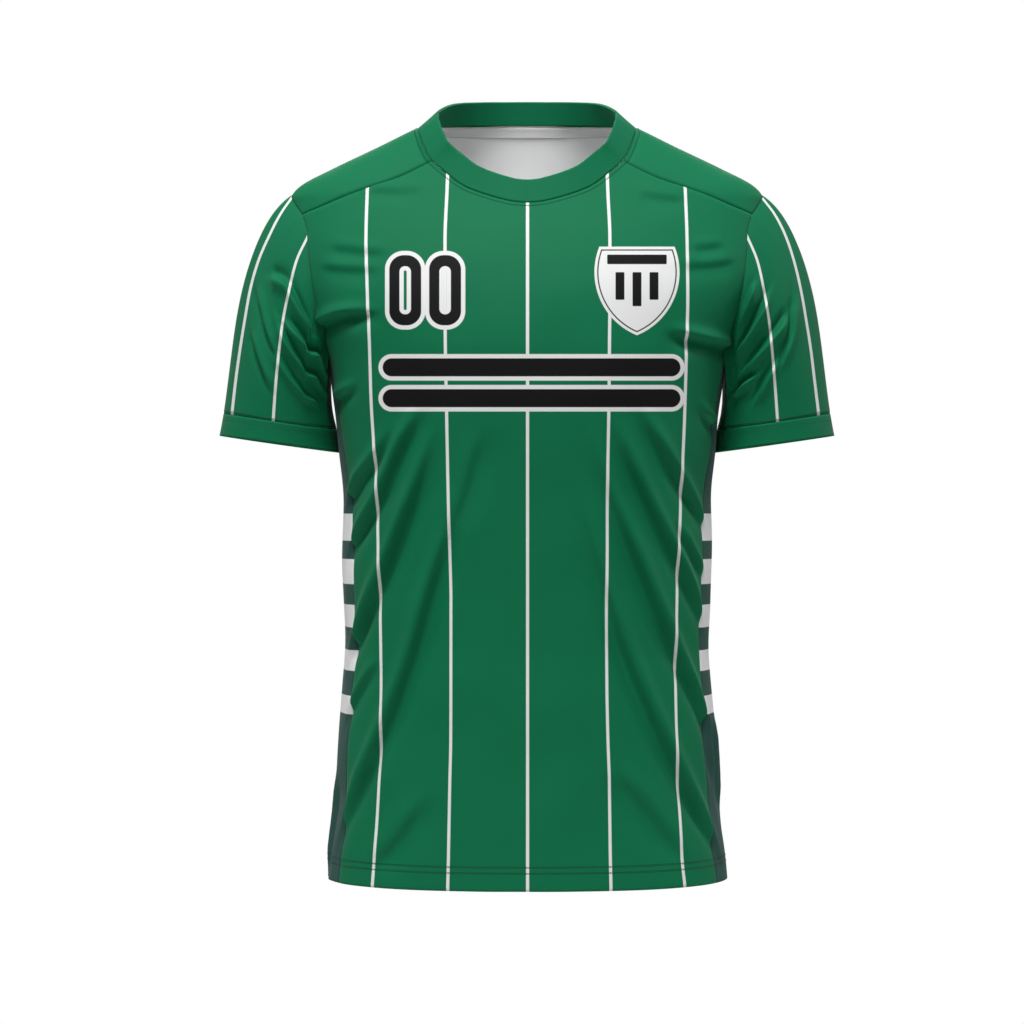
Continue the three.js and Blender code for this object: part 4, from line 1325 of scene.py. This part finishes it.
def ring_line(points, row, sign):
    """A closed line round a sleeve along one of its rows, with its normals."""
    ring = np.concatenate([points[row], points[row][:1]])
    above = np.concatenate([points[row - 1], points[row - 1][:1]])
    along = np.roll(ring[:-1], -1, axis=0) - np.roll(ring[:-1], 1, axis=0)
    along = np.concatenate([along, along[:1]])
    return ring, unit(np.cross(along, ring - above)) * sign


def collar_grid(rows):
    angles = np.concatenate([
        np.linspace(0, NECK_CORNER_ANGLE, 40)[:-1],
        np.linspace(NECK_CORNER_ANGLE, 90, 30)[:-1],
        np.linspace(90, 180, 60),
    ])
    angles = np.concatenate([angles, -angles[1:-1][::-1]])
    seam = body_point(angles, neck_seam(np.abs(angles)))
    along = unit(np.roll(seam, -1, axis=0) - np.roll(seam, 1, axis=0))
    lean = collar_lean(np.abs(angles))[:, None]
    inward = np.stack([-seam[:, 0], COLLAR_AXIS_Y - seam[:, 1], 0 * seam[:, 0]], -1)
    way = unit(inward) * lean
    way[:, 2] = np.sqrt(1 - lean[:, 0] ** 2)
    way = unit(way - along * (way * along).sum(axis=1, keepdims=True))
    for _ in range(30):
        way = unit(way + (np.roll(way, 1, axis=0) + np.roll(way, -1, axis=0)) / 2)
    share = np.linspace(0, 1, rows + 1)[:, None, None]
    points = seam[None] + way[None] * COLLAR_WIDTH * share
    return points, angles, share[..., 0]


INNER = plain_material("inside_knit", INSIDE, INSIDE_DEEP, 0.75)
FRONT = front_material()
BACK = back_material()
SLEEVE = sleeve_material()
PLAIN = plain_material("plain_knit", GREEN, GREEN_DEEP)
SIDE = side_material()
TAPE = plain_material("tape_cloth", TAPE_WHITE, TAPE_DEEP, 0.7)
GREEN_THREAD = thread_material("green_thread", THREAD)
DARK_THREAD = thread_material("dark_thread", (0.018, 0.06, 0.05))
GREY_THREAD = thread_material("grey_thread", (0.45, 0.45, 0.45))

front_corner = float(front_edge(HEM_Z))
back_corner = float(back_edge(HEM_Z))
front = body_cloth("front", [front_half(sign, *FRONT_GRID) for sign in (1, -1)], [False, True])
front.fields["from_neck"] = neck_distance(front.points)
sink_seams(front, above_hem)
front_lines = hem_lines(-front_corner, front_corner)
front_lines.append(neck_line(-NECK_CORNER_ANGLE, NECK_CORNER_ANGLE))
front_stitches = stitches("front_stitches", front_lines, GREEN_THREAD)
dress(front, "front_panel", CLOTH_WALL, [FRONT, INNER, PLAIN], [front_stitches])

halves = [back_half(sign, *BACK_GRID) for sign in (1, -1)]
wraps = [shoulder_wrap(sign, 30) for sign in (1, -1)]
back = body_cloth("back", halves + wraps, [False, True, False, True])
back.fields["from_neck"] = neck_distance(back.points)
sink_seams(back, above_hem)
back_lines = hem_lines(back_corner, 360 - back_corner)
back_lines.append(neck_line(NECK_CORNER_ANGLE, 360 - NECK_CORNER_ANGLE))
back_stitches = stitches("back_stitches", back_lines, GREEN_THREAD)
dress(back, "back_panel", CLOTH_WALL, [BACK, INNER, PLAIN], [back_stitches])

for side, sign in (("left", 1), ("right", -1)):
    panel = body_cloth("side_" + side, [side_panel(sign, *SIDE_GRID)], [sign < 0])
    sink_seams(panel, above_hem)
    lines = hem_lines(sign * front_corner, sign * back_corner)
    sewing = stitches("side_stitches_" + side, lines, DARK_THREAD)
    node = "side_panel_" + side
    dress(panel, node, CLOTH_WALL, [SIDE, INNER, SIDE], [sewing])

for side, sign, folds, stripes in (
    ("left", 1, LEFT_SLEEVE_FOLDS, LEFT_SLEEVE_STRIPES),
    ("right", -1, RIGHT_SLEEVE_FOLDS, RIGHT_SLEEVE_STRIPES),
):
    for part, rows, flat, area in (
        ("sleeve", 110, (0.42, 0.22), 0.066),
        ("cuff", 12, (0.36, 0.02), 0.0068),
    ):
        shares = np.linspace(0, 1, rows + 1)
        points, turns, run = sleeve_grid(sign, folds, SLEEVE_STEPS, shares, part)
        node = part + "_" + side
        cloth = Cloth(node + "_knit")
        speed = np.linalg.norm(round_sleeve(SLEEVE_REACH, turns), axis=-1)
        cloth.add(
            points,
            closed=True,
            flip=sign > 0,
            across=np.degrees(turns) * SLEEVE_MM_PER_DEGREE,
            down=-run * SLEEVE_RUN,
            lane=sleeve_lane(sign, points, turns, stripes),
            turn=np.degrees(turns),
            to_cuff=(cuff_run(turns) - run) * speed,
        )
        cloth.weld()
        if part == "sleeve":
            sink_seams(cloth, lambda p: p[:, 2] < CUFF_SEAM_BELOW)
        row = -3 if part == "sleeve" else 3
        lines = [ring_line(points, row, sign)]
        sewing = stitches(node + "_stitches", lines, GREEN_THREAD)
        kinds = [SLEEVE, INNER, PLAIN] if part == "sleeve" else [PLAIN, PLAIN, PLAIN]
        dress(cloth, node, CLOTH_WALL, kinds, [sewing])

points, angles, share = collar_grid(14)
collar = Cloth("neck_band")
steps = np.linalg.norm(np.diff(points[0], axis=0, prepend=points[0][:1]), axis=1)
collar.add(
    points,
    closed=True,
    across=np.cumsum(steps)[None],
    down=share * COLLAR_WIDTH,
    turn=angles[None],
)
collar.weld()
dress(collar, "collar", COLLAR_WALL, [PLAIN, PLAIN, PLAIN])

angle = np.linspace(TAPE_START_ANGLE, 360 - TAPE_START_ANGLE, 160)
folded = np.where(angle > 180, 360 - angle, angle)
rows = []
for share in np.linspace(0, 1, 8):
    z = neck_seam(folded) - 1 - tape_drop(folded) * share
    rows.append(body_point(angle, z) - body_normal(angle, z) * TAPE_INSET)
tape = Cloth("neck_strip")
tape.add(np.stack(rows), across=(angle * 1.1)[None], down=np.linspace(0, 11, 8)[:, None])
tape.weld()
inward = -body_normal(angle, neck_seam(folded))
tape_lines = [(rows[6] + inward * TAPE_STITCH_INSET, inward)]
tape_stitches = stitches("tape_stitches", tape_lines, GREY_THREAD)
dress(tape, "neck_tape", TAPE_WALL, [TAPE, TAPE, TAPE], [tape_stitches])


def area_light(name, at, aim, size, power, spread=180):
    light = bpy.data.lights.new(name, "AREA")
    light.shape = "DISK"
    light.size = size
    light.energy = power
    light.spread = math.radians(spread)
    lamp = add_object(name, light)
    lamp.location = at
    lamp.rotation_euler = (Vector(aim) - Vector(at)).to_track_quat("-Z", "Y").to_euler()


def studio():
    area_light("key", (-0.35, -1.5, 2.6), (0, 0, -0.3), 1.0, 95)
    area_light("left", (-2.4, 0.5, 0.9), (0, 0, -0.2), 0.8, 7)
    area_light("right", (2.4, 0.5, 0.9), (0, 0, -0.2), 0.8, 12)
    area_light("back", (0.0, 2.6, 1.8), (0, 0, -0.3), 1.4, 40)
    area_light("neck", (0, -1.5, 0.62), (0, 0.05, -0.04), 0.05, 0.007, 5)
    world = bpy.data.worlds.new("studio")
    bpy.context.scene.world = world
    world.use_nodes = True
    tree = world.node_tree
    sky = tree.nodes["Background"]
    sky.inputs["Color"].default_value = (1, 1, 1, 1)
    place = tree.nodes.new("ShaderNodeTexCoord")
    axes = tree.nodes.new("ShaderNodeSeparateXYZ")
    fall = tree.nodes.new("ShaderNodeMapRange")
    fall.inputs["From Min"].default_value = -0.6
    fall.inputs["From Max"].default_value = 1.0
    fall.inputs["To Min"].default_value = 0.06
    fall.inputs["To Max"].default_value = 0.62
    tree.links.new(place.outputs["Generated"], axes.inputs[0])
    tree.links.new(axes.outputs["Z"], fall.inputs["Value"])
    tree.links.new(fall.outputs[0], sky.inputs["Strength"])
    bright = tree.nodes.new("ShaderNodeBackground")
    bright.inputs["Color"].default_value = (1, 1, 1, 1)
    bright.inputs["Strength"].default_value = 1.0
    path = tree.nodes.new("ShaderNodeLightPath")
    share = tree.nodes.new("ShaderNodeMixShader")
    tree.links.new(path.outputs["Is Camera Ray"], share.inputs[0])
    tree.links.new(sky.outputs[0], share.inputs[1])
    tree.links.new(bright.outputs[0], share.inputs[2])
    tree.links.new(share.outputs[0], tree.nodes["World Output"].inputs["Surface"])


def floor():
    mesh = bpy.data.meshes.new("floor")
    ring = [(1.4 * math.cos(a), 1.4 * math.sin(a), -1.3) for a in np.linspace(0, 6.2832, 64, False)]
    mesh.from_pydata(ring, [], [list(range(64))])
    plane = add_object("floor", mesh)
    nodes = Nodes("pale_floor", 0.9, 0.2, 0.0, 0.5)
    nodes.colour((0.85, 0.85, 0.85))
    mesh.materials.append(nodes.material)


def camera():
    data = bpy.data.cameras.new("camera")
    data.sensor_width = 36
    data.lens = CAMERA_LENS
    view = add_object("camera", data)
    view.location = CAMERA_AT
    view.rotation_euler = (math.radians(90), 0, 0)
    bpy.context.scene.camera = view


studio()
floor()
camera()
bpy.context.scene.view_settings.view_transform = "Standard"
